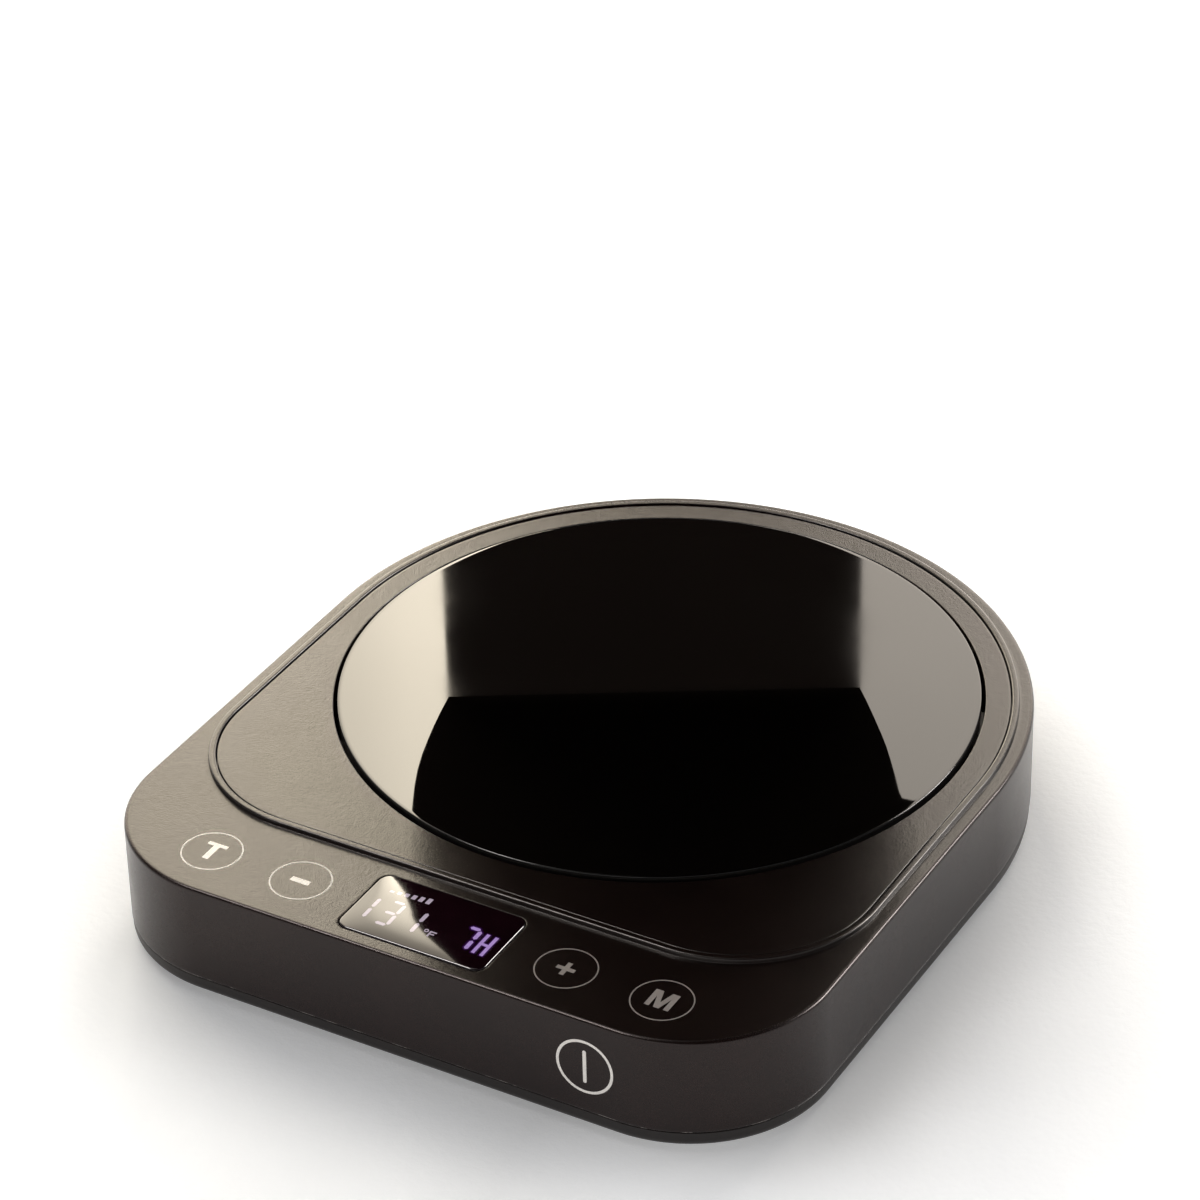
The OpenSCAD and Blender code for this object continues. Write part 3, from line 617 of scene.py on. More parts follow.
def make_top_shell():
    s = Solid()
    W, F, R = HW - SK, FY + SK, FRONT_R - SK

    def o(d, z):
        return s.ring(outline(W, F, R, d), z)
    # outer wall, from the seam up, and the round top edge
    seam = [(0.50, SEAM_Z + 0.02), (0.26, SEAM_Z + 0.03), (0.14, SEAM_Z + 0.09), (0.05, SEAM_Z + 0.20),
            (0.0, SEAM_Z + 0.38), (0.0, SEAM_Z + 0.8)]
    rings = [o(d, z) for d, z in seam]
    for z in (8.0, 12.0, 16.0, 19.3):
        rings.append(o(0.0, z))
    for d, z in [(0.6 - 0.6 * math.cos(math.radians(a)), 19.9 + 0.6 * math.sin(math.radians(a)))
                 for a in range(0, 91, 9)]:
        rings.append(o(d, z))
    s.chain(rings, 1)
    # strip, with the window's opening
    top0 = rings[-1]
    top1 = o(0.95, STRIP_Z)
    s.band(top0, top1)

    def k(d, z):
        return s.ring(outline(RIM_X, RIM_Y, RIM_R, d), z)
    foot = [(-0.55, 0.0), (-0.07, 0.0), (-0.03, 0.007), (-0.007, 0.03), (0.0, 0.07)]
    rim = foot + [(0.05, 0.34)] + arc(0.38, 0.49, 0.31, 180 - 12, 90, 7)[1:] \
        + [(0.55, RIM_H), (0.86, RIM_H)] + arc(0.92, RIM_H - 0.28, 0.28, 78, 0, 6) + [(1.2, 0.3)]
    # crest stays within the casing's height
    rim = [(d, min(z, RIM_H)) for d, z in rim]
    krings = [k(d, STRIP_Z + z) for d, z in rim]
    s.chain(krings)
    hole = [s.ring(rrect(WIN_W + 0.2 + 2 * d, WIN_D + 0.2 + 2 * d, WIN_R + 0.1 + d, 0, WIN_Y, 14, 6), STRIP_Z + z)
            for d, z in [(0.5, 0.0), (0.16, 0.0), (0.06, -0.03), (0.0, -0.14), (0.0, -1.2), (0.0, ROOF_Z - STRIP_Z)]]
    s.chain(hole)
    s.fill(top1, krings[0], hole[0])
    # pocket for the deck panel, opening for the plate
    pk = [krings[-1], k(1.2, PK_Z + 0.12), k(1.25, PK_Z + 0.03), k(1.36, PK_Z)]
    s.chain(pk)
    circ = [s.ring(circle(HOLE_R + d, 0, CY, 360), z) for d, z in
            [(0.12, PK_Z), (0.03, PK_Z - 0.03), (0.0, PK_Z - 0.12), (0.0, ROOF_Z)]]
    s.fill(pk[-1], circ[0])
    s.chain(circ)
    # inside: roof, inner wall and lower edge
    inner = [s.ring(outline(W, F, R, WALL + 0.3), ROOF_Z)] + \
            [s.ring(outline(W, F, R, WALL + d), z) for d, z in
             [(0.18, ROOF_Z - 0.06), (0.0, ROOF_Z - 0.6), (0.0, SEAM_Z + 0.2), (-0.1, SEAM_Z + 0.02)]]
    s.fill(inner[0], circ[-1], hole[-1])
    s.chain(inner, 2)
    s.band(inner[-1], rings[0], 1)
    return s


def make_bosses():
    """Screw bosses and the control board's pillars, and the bores in them."""
    add, bore = Solid(), Solid()
    for x, y in CASE_P:
        lathe(add, [(0, 6.3), (2.8, 6.3), (3.0, 6.5), (3.0, 18.6), (0, 18.6)], x, y, 64)
        lathe(bore, [(0, 5.5), (1.55, 5.5), (1.55, 6.3), (1.35, 6.5), (1.35, 15.5), (0, 15.5)], x, y, 48)
    for x in (-31.3, 31.3):
        lathe(add, [(0, 11.2), (2.3, 11.2), (2.3, 18.6), (0, 18.6)], x, -56.0, 56)
        lathe(bore, [(0, 10.5), (1.05, 10.5), (1.05, 16.6), (0, 16.6)], x, -56.0, 40)
    return add, bore


def make_deck_panel():
    s = Solid()

    def o(d, z):
        return s.ring(outline(DECK_X, DECK_Y, DECK_R, d), z)
    outer = [o(0.0, PK_Z), o(0.0, PK_Z + 0.7)] + \
            [o(0.13 - 0.13 * math.cos(math.radians(a)), DECK_Z - 0.13 + 0.13 * math.sin(math.radians(a)))
             for a in range(0, 91, 15)] + [o(0.5, DECK_Z)]
    s.chain(outer)

    def c(d, z):
        return s.ring(circle(HOLE_R + d, 0, CY, 360), z)
    inner = [c(0.75, DECK_Z)] + \
            [c(0.2 - 0.2 * math.sin(math.radians(a)), DECK_Z - 0.2 + 0.2 * math.cos(math.radians(a)))
             for a in range(0, 91, 10)] + [c(0.0, PK_Z + 0.2), c(0.0, PK_Z)]
    s.chain(inner)
    s.fill(outer[-1], inner[0])
    s.fill(outer[0], inner[-1], m=1)
    for a in (0, 60, 120, 180):
        x, y = 54.3 * math.cos(math.radians(a)), CY + 54.3 * math.sin(math.radians(a))
        lathe(s, [(0, 18.35), (0.75, 18.35), (0.95, 18.6), (0.95, PK_Z + 0.05), (0, PK_Z + 0.05)], x, y, 32, 1)
    for x in (-44, 44):
        lathe(s, [(0, 18.35), (1.2, 18.35), (1.45, 18.6), (1.45, PK_Z + 0.05), (0, PK_Z + 0.05)], x, -34, 40, 1)
    return s


def make_bottom_cover():
    s = Solid()
    W, F, R = HW - 0.15, FY + 0.15, FRONT_R - 0.15

    def o(d, z):
        return s.ring(outline(W, F, R, d), z)
    edge = [o(BASE_R + 0.35, BASE_Z)] + \
           [o(BASE_R - BASE_R * math.sin(math.radians(a)), BASE_Z + BASE_R - BASE_R * math.cos(math.radians(a)))
            for a in range(0, 91, 6)] + \
           [o(0.0, SEAM_Z - 0.26), o(0.06, SEAM_Z - 0.12), o(0.18, SEAM_Z - 0.03), o(0.5, SEAM_Z)]
    ledge = [o(2.35, SEAM_Z), o(2.35, 5.0), o(2.55, 5.2), o(3.35, 5.2), o(3.55, 5.0), o(3.55, SEAM_Z),
             o(4.4, SEAM_Z), o(4.4, FLOOR_Z)]
    s.chain(edge + ledge)
    under, floor = [], []

    def through(pts_at, m=0):
        """An opening from the underside to the inside floor, with eased edges."""
        r = [s.ring(pts_at(0.25), BASE_Z), s.ring(pts_at(0.07), BASE_Z + 0.06), s.ring(pts_at(0.0), BASE_Z + 0.25),
             s.ring(pts_at(0.0), FLOOR_Z)]
        s.chain(r, m)
        under.append(r[0])
        floor.append(r[-1])
    for i in range(-4, 5):
        for y in (CY - 31, CY + 31):
            through(lambda d, x=i * 4.2, y=y: rrect(1.6 + 2 * d, 9 + 2 * d, 0.45 + d, x, y, 5))
    # seats of the feet
    for x, y in FOOT_P:
        r = [s.ring(circle(5.65 + d, x, y, 80), z) for d, z in
             [(0.25, BASE_Z), (0.07, BASE_Z + 0.06), (0.0, BASE_Z + 0.25), (0.0, BASE_Z + 0.8)]]
        s.chain(r)
        s.fan(r[-1])
        under.append(r[0])
    # shallow bare field
    r = [s.ring(rrect(44 + 2 * d, 26 + 2 * d, 1.6 + d, 0, CY - 1, 8), z) for d, z in
         [(0.12, BASE_Z), (0.0, BASE_Z + 0.12), (0.0, BASE_Z + 0.24), (-0.12, BASE_Z + 0.3), (-0.6, BASE_Z + 0.3)]]
    s.chain(r)
    s.fill(r[-1])
    under.append(r[0])
    s.fill(edge[0], *under)
    s.fill(ledge[-1], *floor)
    # inside: board standoffs, guide posts and ribs
    for x in (-19, 19):
        for y in (-19, 35):
            n = 40
            a = s.ring(circle(2.6, x, y, n), FLOOR_Z - 0.05)
            b = s.ring(circle(2.6, x, y, n), 6.0)
            c = s.ring(circle(1.05, x, y, n), 6.0)
            d = s.ring(circle(1.05, x, y, n), FLOOR_Z + 0.1)
            s.fan(a); s.band(a, b); s.band(b, c); s.band(c, d); s.fan(d)
    for a in (45, 135, 225, 315):
        x, y = 38 * math.cos(math.radians(a)), CY + 38 * math.sin(math.radians(a))
        lathe(s, [(0, FLOOR_Z - 0.05), (2.3, FLOOR_Z - 0.05), (2.3, 4.8), (2.1, 5.0), (1.5, 5.0), (1.5, 13.0),
                  (1.3, 13.2), (0, 13.2)], x, y, 40)
    for y in (-31, 47):
        boxes(s, -30, y, FLOOR_Z - 0.05, 30, y + 1.2, 4.7)
    return s


def make_screw_seats():
    """Pillars of the case screws, and the stepped bores in them."""
    add, bore = Solid(), Solid()
    for x, y in CASE_P:
        lathe(add, [(0, 2.9), (2.7, 2.9), (2.7, 5.95), (2.55, 6.1), (0, 6.1)], x, y, 64)
        lathe(bore, [(0, -0.4), (2.85, -0.4), (2.85, BASE_Z), (2.67, BASE_Z + 0.06), (2.6, BASE_Z + 0.25),
                     (2.6, BASE_Z + 1.4), (1.45, BASE_Z + 1.4), (1.45, 6.9), (0, 6.9)], x, y, 56)
    return add, bore


def make_feet():
    s = Solid()
    for x, y in FOOT_P:
        prof = [(0, 0.0), (2.0, 0.0), (2.0, 0.22), (2.4, 0.22), (2.4, 0.0), (3.5, 0.0), (3.5, 0.22), (3.9, 0.22),
                (3.9, 0.0), (4.75, 0.0)]
        prof += [(4.75 + 0.75 * math.sin(math.radians(a)), 0.75 - 0.75 * math.cos(math.radians(a)))
                 for a in range(12, 91, 13)]
        prof += [(5.5, 1.56), (5.35, 1.68), (0, 1.68)]
        lathe(s, prof, x, y, 88)
    return s


def make_glass():
    s = Solid()
    n = 360
    z0, z1 = GLASS_Z0, GLASS_Z1
    prof = [(50.6, z0), (51.2, z0), (51.35, z0 + 0.05), (51.6, z0 + 0.32), (51.6, z1 - 0.26)]
    a0 = [(51.6 - 0.20 + 0.20 * math.cos(math.radians(a)), z1 - 0.20 + 0.20 * math.sin(math.radians(a)))
          for a in range(10, 91, 10)]
    prof += a0 + [(50.9, z1)]
    rings = [s.ring(circle(r, 0, CY, n), z) for r, z in prof]
    for i, (a, b) in enumerate(zip(rings, rings[1:])):
        s.band(a, b, 1 if prof[i + 1][1] <= z1 - 0.26 + 1e-6 else 0)
    s.fan(rings[0], 0)
    inner = s.ring(circle(30.0, 0, CY, n), z1)
    s.band(rings[-1], inner, 0)
    s.fan(inner, 0)
    return s


def make_window():
    s = Solid()
    base = [(14.2 * 2, 14.9, 2.0, ROOF_Z - 0.8), (14.2 * 2, 14.9, 2.0, ROOF_Z)]
    r = [s.ring(rrect(a, b, c, 0, WIN_Y, 14, 44), z) for a, b, c, z in base]
    r += [s.ring(rrect(WIN_W, WIN_D, WIN_R, 0, WIN_Y, 14, 44), z) for z in (ROOF_Z, STRIP_Z - 0.35, WIN_EDGE - LIP)]
    steps = [0.015, 0.04, 0.08, 0.13, 0.19, 0.26] + [0.34 + 0.28 * i for i in range(25)]
    for d in steps:
        pts = rrect(WIN_W - 2 * d, WIN_D - 2 * d, max(WIN_R - d, 0.05), 0, WIN_Y, 14, 44)
        r.append(s.points([(x, y, window_height(x, y)) for x, y in pts]))
    s.chain(r)
    s.fan(r[0])
    s.fill(r[-1])
    return s


def make_bushing():
    """About its own axis here, then turned to point to the back."""
    s = Solid()
    prof = [(2.75, 0.22), (2.83, 0.07), (3.0, 0.0), (4.62, 0.0), (4.86, 0.06), (4.97, 0.2), (5.0, 0.36), (5.0, 0.8),
            (4.0, 0.8), (4.0, 2.7), (5.0, 2.7), (5.2, 2.9), (5.2, 5.3), (5.0, 5.5), (3.0, 5.5), (2.75, 5.25)]
    lathe(s, prof, 0, 0, 96)
    return s


# ---- printed marks ---------------------------------------------------------
def prism(s, pts, z0, z1, m=0, lift=None):
    """Thin flat piece with an outline. lift gives a height to add at (x, y)."""
    if lift:
        fine = []
        for i, p in enumerate(pts):
            q = pts[(i + 1) % len(pts)]
            k = max(1, int(math.dist(p, q) / 0.45))
            fine += [(p[0] + (q[0] - p[0]) * j / k, p[1] + (q[1] - p[1]) * j / k) for j in range(k)]
        pts = fine
    a = s.points([(x, y, (lift(x, y) if lift else 0.0) + z0) for x, y in pts])
    b = s.points([(x, y, (lift(x, y) if lift else 0.0) + z1) for x, y in pts])
    s.band(a, b, m)
    s.fill(a, m=m)
    s.fill(b, m=m)


def annulus(s, cx, cy, ro, ri, z0, z1, n=160, m=0):
    a, b = s.ring(circle(ro, cx, cy, n), z0), s.ring(circle(ro, cx, cy, n), z1)
    c, d = s.ring(circle(ri, cx, cy, n), z1), s.ring(circle(ri, cx, cy, n), z0)
    s.band(a, b, m)
    s.band(b, c, m)
    s.band(c, d, m)
    s.band(d, a, m)


def soft(pts, r=0.12, n=3):
    """Rounds the corners of an outline slightly, as printed ink has them."""
    out = []
    k = len(pts)
    for i in range(k):
        p0, p, p1 = Vector(pts[i - 1]), Vector(pts[i]), Vector(pts[(i + 1) % k])
        u, v = (p0 - p), (p1 - p)
        q = min(r, u.length * 0.4, v.length * 0.4)
        a, b = p + u.normalized() * q, p + v.normalized() * q
        for j in range(n + 1):
            t = j / n
            x = a * (1 - t) ** 2 + p * 2 * t * (1 - t) + b * t ** 2
            out.append((x.x, x.y))
    return out


def bar(cx, cy, w, h):
    return [(cx - w / 2, cy - h / 2), (cx + w / 2, cy - h / 2), (cx + w / 2, cy + h / 2), (cx - w / 2, cy + h / 2)]


def key_mark(name, cx, shapes):
    s = Solid()
    z0, z1 = STRIP_Z - 0.05, STRIP_Z + SK
    annulus(s, cx, KEY_Y, 4.85, 4.65, z0, z1)
    for pts in shapes:
        prism(s, soft(pts, 0.08), z0, z1)
    return s


def mark_shapes():
    x = KEY_X[0]
    t = [(x - 1.75, KEY_Y + 2.1), (x - 1.75, KEY_Y + 1.35), (x - 0.52, KEY_Y + 1.35), (x - 0.52, KEY_Y - 2.1),
         (x + 0.52, KEY_Y - 2.1), (x + 0.52, KEY_Y + 1.35), (x + 1.75, KEY_Y + 1.35), (x + 1.75, KEY_Y + 2.1)]
    minus = bar(KEY_X[1], KEY_Y - 0.12, 3.25, 1.06)
    x, y, a, b = KEY_X[2], KEY_Y - 0.12, 1.54, 0.39
    plus = [(x - a, y - b), (x - b, y - b), (x - b, y - a), (x + b, y - a), (x + b, y - b), (x + a, y - b),
            (x + a, y + b), (x + b, y + b), (x + b, y + a), (x - b, y + a), (x - b, y + b), (x - a, y + b)]
    x, yt, yb = KEY_X[3], KEY_Y + 2.12, KEY_Y - 2.08
    mm = [(x - 2.1, yt), (x - 2.1, yb), (x - 1.24, yb), (x - 1.24, yt - 1.35), (x - 0.47, yb), (x + 0.47, yb),
          (x + 1.24, yt - 1.35), (x + 1.24, yb), (x + 2.1, yb), (x + 2.1, yt), (x + 0.78, yt), (x, yb + 1.45),
          (x - 0.78, yt)]
    mm = [(x + (a - x) * 0.955, KEY_Y + (b - KEY_Y) * 0.955) for a, b in mm]
    return t, minus, plus, mm


def power_mark():
    """Ring and upright bar on the front wall. Drawn flat, then stood up."""
    s = Solid()
    y0, y1 = 0.0, 0.07
    annulus(s, POWER_X, POWER_Z, 4.80, 4.34, y0, y1)
    pts = []
    for i in range(17):
        a = math.pi * i / 16
        pts.append((POWER_X + 0.30 * math.cos(a), POWER_Z + 0.02 + 2.68 + 0.30 * math.sin(a)))
    for i in range(17):
        a = math.pi + math.pi * i / 16
        pts.append((POWER_X + 0.30 * math.cos(a), POWER_Z + 0.02 - 2.68 + 0.30 * math.sin(a)))
    prism(s, pts, y0, y1)
    s.v = [(x, FY + 0.07 - h, z) for x, z, h in s.v]
    return s


# ---- display segments --------------------------------------------------------
DX, DY = 0.50, -0.67     # the crown's height shifts what is seen against the strip


def seg_pts(x0, y0, x1, y1, w, tip=0.45):
    """A lit segment from (x0, y0) to (x1, y1) with bevelled ends."""
    p, q = Vector((x0, y0)), Vector((x1, y1))
    u = (q - p).normalized()
    n = Vector((-u.y, u.x)) * (w / 2)
    e = u * (w * tip)
    out = [p, p + e + n, q - e + n, q, q - e - n, p + e - n]
    return [(v.x, v.y) for v in out]


def digit(x, yt, w, h, lit, sw=0.72, gap=0.16):
    """Seven-segment digit with its top left at (x, yt). lit names the segments."""
    ym, yb = yt - h / 2, yt - h
    g = gap
    lines = {
        "a": (x + g, yt, x + w - g, yt), "g": (x + g, ym, x + w - g, ym), "d": (x + g, yb, x + w - g, yb),
        "f": (x, yt - g, x, ym + g), "b": (x + w, yt - g, x + w, ym + g),
        "e": (x, ym - g, x, yb + g), "c": (x + w, ym - g, x + w, yb + g)}
    return [seg_pts(*lines[k], sw) for k in lit]


def grown(pts, d):
    """Outline grown by d about each of its corners, for the glow round a segment."""
    k = len(pts)
    out = []
    area = sum(pts[i][0] * pts[(i + 1) % k][1] - pts[(i + 1) % k][0] * pts[i][1] for i in range(k))
    sgn = 1.0 if area > 0 else -1.0
    for i in range(k):
        p0, p, p1 = Vector(pts[i - 1]), Vector(pts[i]), Vector(pts[(i + 1) % k])
        u, v = (p - p0).normalized(), (p1 - p).normalized()
        n = Vector((u.y, -u.x)) + Vector((v.y, -v.x))
        n = n.normalized() * sgn
        out.append((p.x + n.x * d, p.y + n.y * d))
    return out


def display_pieces():
    pale, violet = [], []
    # three digits of the temperature
    pale += digit(-12.35, -58.15, 2.15, 5.35, "bc", 0.62)
    pale += digit(-8.05, -58.0, 2.15, 5.6, "abgcd", 0.62)
    pale += digit(-4.0, -58.1, 2.15, 5.4, "bc", 0.66)
    # degree ring and letter of the scale
    f = []
    x, y = 0.72, -61.75
    f.append([(x, y), (x + 1.15, y), (x + 1.15, y - 0.26), (x + 0.28, y - 0.26), (x + 0.28, y - 0.55),
              (x + 0.98, y - 0.55), (x + 0.98, y - 0.80), (x + 0.28, y - 0.80), (x + 0.28, y - 1.32), (x, y - 1.32)])
    pale += f
    # hours
    violet += digit(5.35, -58.15, 2.1, 5.1, "abc", 0.68)
    x = 8.55
    violet.append(bar(x + 0.3, -60.85, 0.56, 4.9))
    violet.append(bar(x + 1.74, -60.85, 0.56, 4.9))
    violet.append(bar(x + 1.02, -60.85, 0.88, 0.56))
    # a plain level gauge of small bars
    gauge = [bar(-9.6 + 1.25 * i, -55.6 - 0.09 * (4 - i), 0.72, 0.55 + 0.18 * i) for i in range(6)]
    return pale, violet, gauge


def shifted(pts):
    return [(x + DX, y + DY) for x, y in pts]


def degree_ring(s, cx, cy, ro, ri, z0, z1):
    n = 28
    rings = []
    for r, z in ((ro, z0), (ro, z1), (ri, z1), (ri, z0)):
        rings.append(s.points([(x, y, window_height(x, y) + z) for x, y in circle(r, cx, cy, n)]))
    s.chain(rings)
    s.band(rings[-1], rings[0])


# ---- springs and leads -------------------------------------------------------
def sweep_tube(s, path, r, sides=10, m=0):
    """Closed round tube along a path of points, without twist."""
    pts = [Vector(p) for p in path]
    n = len(pts)
    tang = [(pts[min(i + 1, n - 1)] - pts[max(i - 1, 0)]).normalized() for i in range(n)]
    up = Vector((0, 0, 1)) if abs(tang[0].z) < 0.9 else Vector((1, 0, 0))
    nrm = (up - tang[0] * up.dot(tang[0])).normalized()
    rings = []
    for i in range(n):
        nrm = (nrm - tang[i] * nrm.dot(tang[i])).normalized()
        bi = tang[i].cross(nrm)
        rings.append(s.points([pts[i] + (nrm * math.cos(2 * math.pi * j / sides)
                                         + bi * math.sin(2 * math.pi * j / sides)) * r for j in range(sides)]))
    s.chain(rings, m)
    s.fan(rings[0], m)
    s.fan(rings[-1], m)


def coil_path(cx, cy, z0, h, rm, rw, turns, q=28):
    """Centreline of a compression spring with closed ends."""
    out = []
    e, p = 0.75, 2.2 * rw
    k = int(turns * q)
    for i in range(k + 1):
        u = turns * i / k
        if u < e:
            z = rw + p * u
        elif u > turns - e:
            z = h - rw - p * (turns - u)
        else:
            z = rw + p * e + (h - 2 * rw - 2 * p * e) * (u - e) / (turns - 2 * e)
        a = 2 * math.pi * u
        out.append((cx + rm * math.cos(a), cy + rm * math.sin(a), z0 + z))
    return out


# ---------------------------------------------------------------------------
# The pieces in place
# ---------------------------------------------------------------------------
PIECES = {}


def place(ob, body, replaced=()):
    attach(ob, body)
    if replaced:
        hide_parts(*replaced)
    PIECES[ob.name] = ob
    return ob


shell = make_top_shell().make("casing", [M["casing"], M["wall"], M["inner"]])
# seat and hole of the rear bushing
add, bore = make_bosses()
cut(shell, add.make("bosses", [M["casing"], M["wall"], M["inner"]], weighted=False), "UNION")
cut(shell, bore.make("boss_bores", [M["casing"], M["wall"], M["inner"]], weighted=False))
c = Solid()
lathe(c, [(0, -0.6), (5.2, -0.6), (5.2, 0.8), (4.1, 0.8), (4.1, 5.0), (0, 5.0)], 0, 0, 96)
BUSH = Matrix.Translation(Vector((0, 0.070, 0.0105))) @ Matrix.Rotation(math.radians(90), 4, "X")
cut(shell, c.make("bushing_hole", [M["inner"]], weighted=False, matrix=BUSH))
place(shell, "base", ["top_shell"])

deck = make_deck_panel().make("deck", [M["deck"], M["inner"]])
place(deck, "base", ["deck_panel"])

cover = make_bottom_cover().make("base_cover", [M["base"]])
add, bore = make_screw_seats()
cut(cover, add.make("pillars", [M["base"]], weighted=False), "UNION")
cut(cover, bore.make("pillar_bores", [M["base"]], weighted=False))
place(cover, "base", ["bottom_cover"])

feet = make_feet().make("feet", [M["rubber"]])
place(feet, "base", ["rubber_feet"])

glass = make_glass().make("plate_glass", [M["glass"], M["glass_edge"]], sharp=50)
place(glass, "plate", ["glass_plate"])

window = make_window().make("window", [M["window"]])
place(window, "base", ["display_window"])

bush = make_bushing().make("rear_bushing", [M["rubber"]], matrix=BUSH)
place(bush, "base", ["cord_bushing"])

T_, MINUS, PLUS, MM_ = mark_shapes()
# T and minus take the painted-lit copy of the ink, plus and M the painted-shade copy
for name, x, pts, key in (("mark_t", KEY_X[0], T_, "ink_painted_lit"), ("mark_minus", KEY_X[1], MINUS, "ink_painted_lit"),
                          ("mark_plus", KEY_X[2], PLUS, "ink_painted_shade"), ("mark_m", KEY_X[3], MM_, "ink_painted_shade")):
    place(key_mark(name, x, [pts]).make(name, [M[key]]), "base")
place(power_mark().make("mark_power", [M["ink"]]), "base")

pale, violet, gauge = display_pieces()
s = Solid()
for i, pts in enumerate(pale):
    prism(s, shifted(pts), -0.04, 0.012, lift=window_height)
degree_ring(s, 0.12 + DX, -61.95 + DY, 0.38, 0.20, -0.04, 0.012)
for pts in gauge:
    prism(s, shifted(soft(pts, 0.1)), -0.04, 0.012, lift=window_height)
place(s.make("display_temperature", [M["lit_pale"]]), "base")
s = Solid()
for pts in violet:
    prism(s, shifted(pts), -0.04, 0.014, lift=window_height)
place(s.make("display_hours", [M["lit_violet"]]), "base")
s = Solid()
for pts in violet:
    prism(s, shifted(soft(grown(pts, 0.34), 0.3)), -0.045, 0.006, lift=window_height)
place(s.make("display_glow", [M["lit_glow"]]), "base")

# springs: real coils; the plate's springs get a mesh of their own
s = Solid()
for a in (45, 135, 225, 315):
    x, y = 38 * math.cos(math.radians(a)), CY + 38 * math.sin(math.radians(a))
    sweep_tube(s, coil_path(x, y, FLOOR_Z, 10.2, 3.0, 0.3, 6), 0.3)
ob = s.make("springs_plate", [M["spring"]])
place(ob, "base", ["plate_springs"])
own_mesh(ob)

s = Solid()
for x in KEY_X[:2] + (23.2, 39.4):
    sweep_tube(s, coil_path(x, -60.2, 11.2, 6.9, 2.5, 0.3, 5), 0.3)
place(s.make("springs_touch", [M["spring"]]), "base", ["touch_springs"])
s = Solid()
sweep_tube(s, coil_path(0, 0, 0, 2.9, 2.5, 0.3, 3), 0.3)
ob = s.make("spring_power", [M["spring"]],
            matrix=Matrix.Translation(Vector((0.03165, -0.0649, 0.01192))) @ Matrix.Rotation(math.radians(90), 4, "X"))
place(ob, "base", ["power_touch_spring"])

# leads: slightly bowed, each into its socket and its terminal
s = Solid()
for x, y, bow in ((-13.3, -8.0, -0.35), (-10.7, -8.0, 0.35)):
    sweep_tube(s, [(x + bow * math.sin(math.pi * i / 14), y, 10.2 + 6.0 * i / 14) for i in range(15)], 0.55, 14)
ob = s.make("leads_heater", [M["lead_white"]])
place(ob, "base", ["heater_leads"])
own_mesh(ob)
s = Solid()
for x, y, bow in ((11.2, -8.0, -0.3), (12.8, -8.0, 0.3)):
    sweep_tube(s, [(x + bow * math.sin(math.pi * i / 14), y, 10.2 + 5.5 * i / 14) for i in range(15)], 0.36, 12)
ob = s.make("leads_sensor", [M["lead_red"]])
place(ob, "base", ["sensor_leads"])
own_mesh(ob)

# inner pieces keep their CAD shapes and get their finishes
FINISH = {
    "case_screws": "zinc", "window_gasket": "foam", "led_display": "display_white", "control_board": "board_green",
    "control_board_screws": "zinc", "controller_chip": "chip", "buzzer": "chip", "power_key_board": "board_green",
    "ribbon_cable": "cable", "ribbon_sockets": "nylon", "main_board": "board_tan", "main_board_screws": "zinc",
    "power_triac": "chip", "triac_heatsink": "aluminium", "filter_capacitor": "cap_yellow",
    "smoothing_capacitor": "cap_sleeve", "mains_fuse": "fuse", "surge_varistor": "varistor",
    "mains_terminal_block": "terminal", "heater_socket": "nylon", "sensor_socket": "nylon", "switch_housing": "chip",
    "heat_spreader": "aluminium", "heating_element": "mica", "insulation_pad": "fibre", "plate_carrier": "carrier",
    "temperature_sensor": "bead", "thermal_cutout": "cutout", "carrier_screws": "zinc", "switch_plunger": "plunger"}
for n, key in FINISH.items():
    ob = nodes[n]
    ob.data.materials.clear()
    ob.data.materials.append(M[key])
for n, ob in nodes.items():
    if n not in FINISH and not ob.hide_render:
        raise SystemExit("node without a finish: " + n)


# ---------------------------------------------------------------------------
# Stage
# ---------------------------------------------------------------------------
def stage_plane(name, corners, mat, both=True):
    me = bpy.data.meshes.new(name)
    me.from_pydata(corners, [], [tuple(range(len(corners)))])
    me.materials.append(mat)
    ob = bpy.data.objects.new(name, me)
    scene.collection.objects.link(ob)
    return ob


def shaped(m, direction, lo, hi, stops):
    """Grey value that runs along a direction, from lo to hi in metres."""
    d = m.nt.nodes.new("ShaderNodeVectorMath")
    d.operation = "DOT_PRODUCT"
    d.inputs[1].default_value = direction
    m.link(m.co, d.inputs[0])
    t = m.map(d.outputs["Value"], lo, hi, 0.0, 1.0)
    top = max(v for p, v in stops)
    return m.math("MULTIPLY", m.ramp(t, [(p, (v / top, v / top, v / top)) for p, v in stops]), top)


# pale paper floor with faint fibre grain. Its glow is painted light and shade: the emission falls off with ambient
# occlusion near the body, a painted contact shadow, so a spot is as bright as it is open.
m = Mat("floor_paper")
grain = m.noise(620.0, 4.0, 0.62)
cloud = m.noise(42.0, 3.0, 0.6)
both = m.math("ADD", m.math("MULTIPLY", grain, 0.6), m.math("MULTIPLY", cloud, 0.4))
m.color(m.ramp(both, [(0.34, (0.775, 0.805, 0.850)), (0.66, (0.865, 0.895, 0.940))]))
m.set(Roughness=0.85, Specular_IOR_Level=0.1, Emission_Color=(1.0, 1.0, 1.0))
ao_painted_shade = m.nt.nodes.new("ShaderNodeAmbientOcclusion")
ao_painted_shade.samples = 4
ao_painted_shade.inputs["Distance"].default_value = 0.065
glow = m.ramp(ao_painted_shade.outputs["AO"], [(0.50, (0.25, 0.25, 0.25)), (0.62, (0.29, 0.29, 0.29)), (0.76, (0.35, 0.35, 0.35)),
                                  (0.82, (0.42, 0.42, 0.42)), (0.88, (0.51, 0.51, 0.51)), (0.92, (0.58, 0.58, 0.58)),
                                  (1.0, (0.68, 0.68, 0.68))])


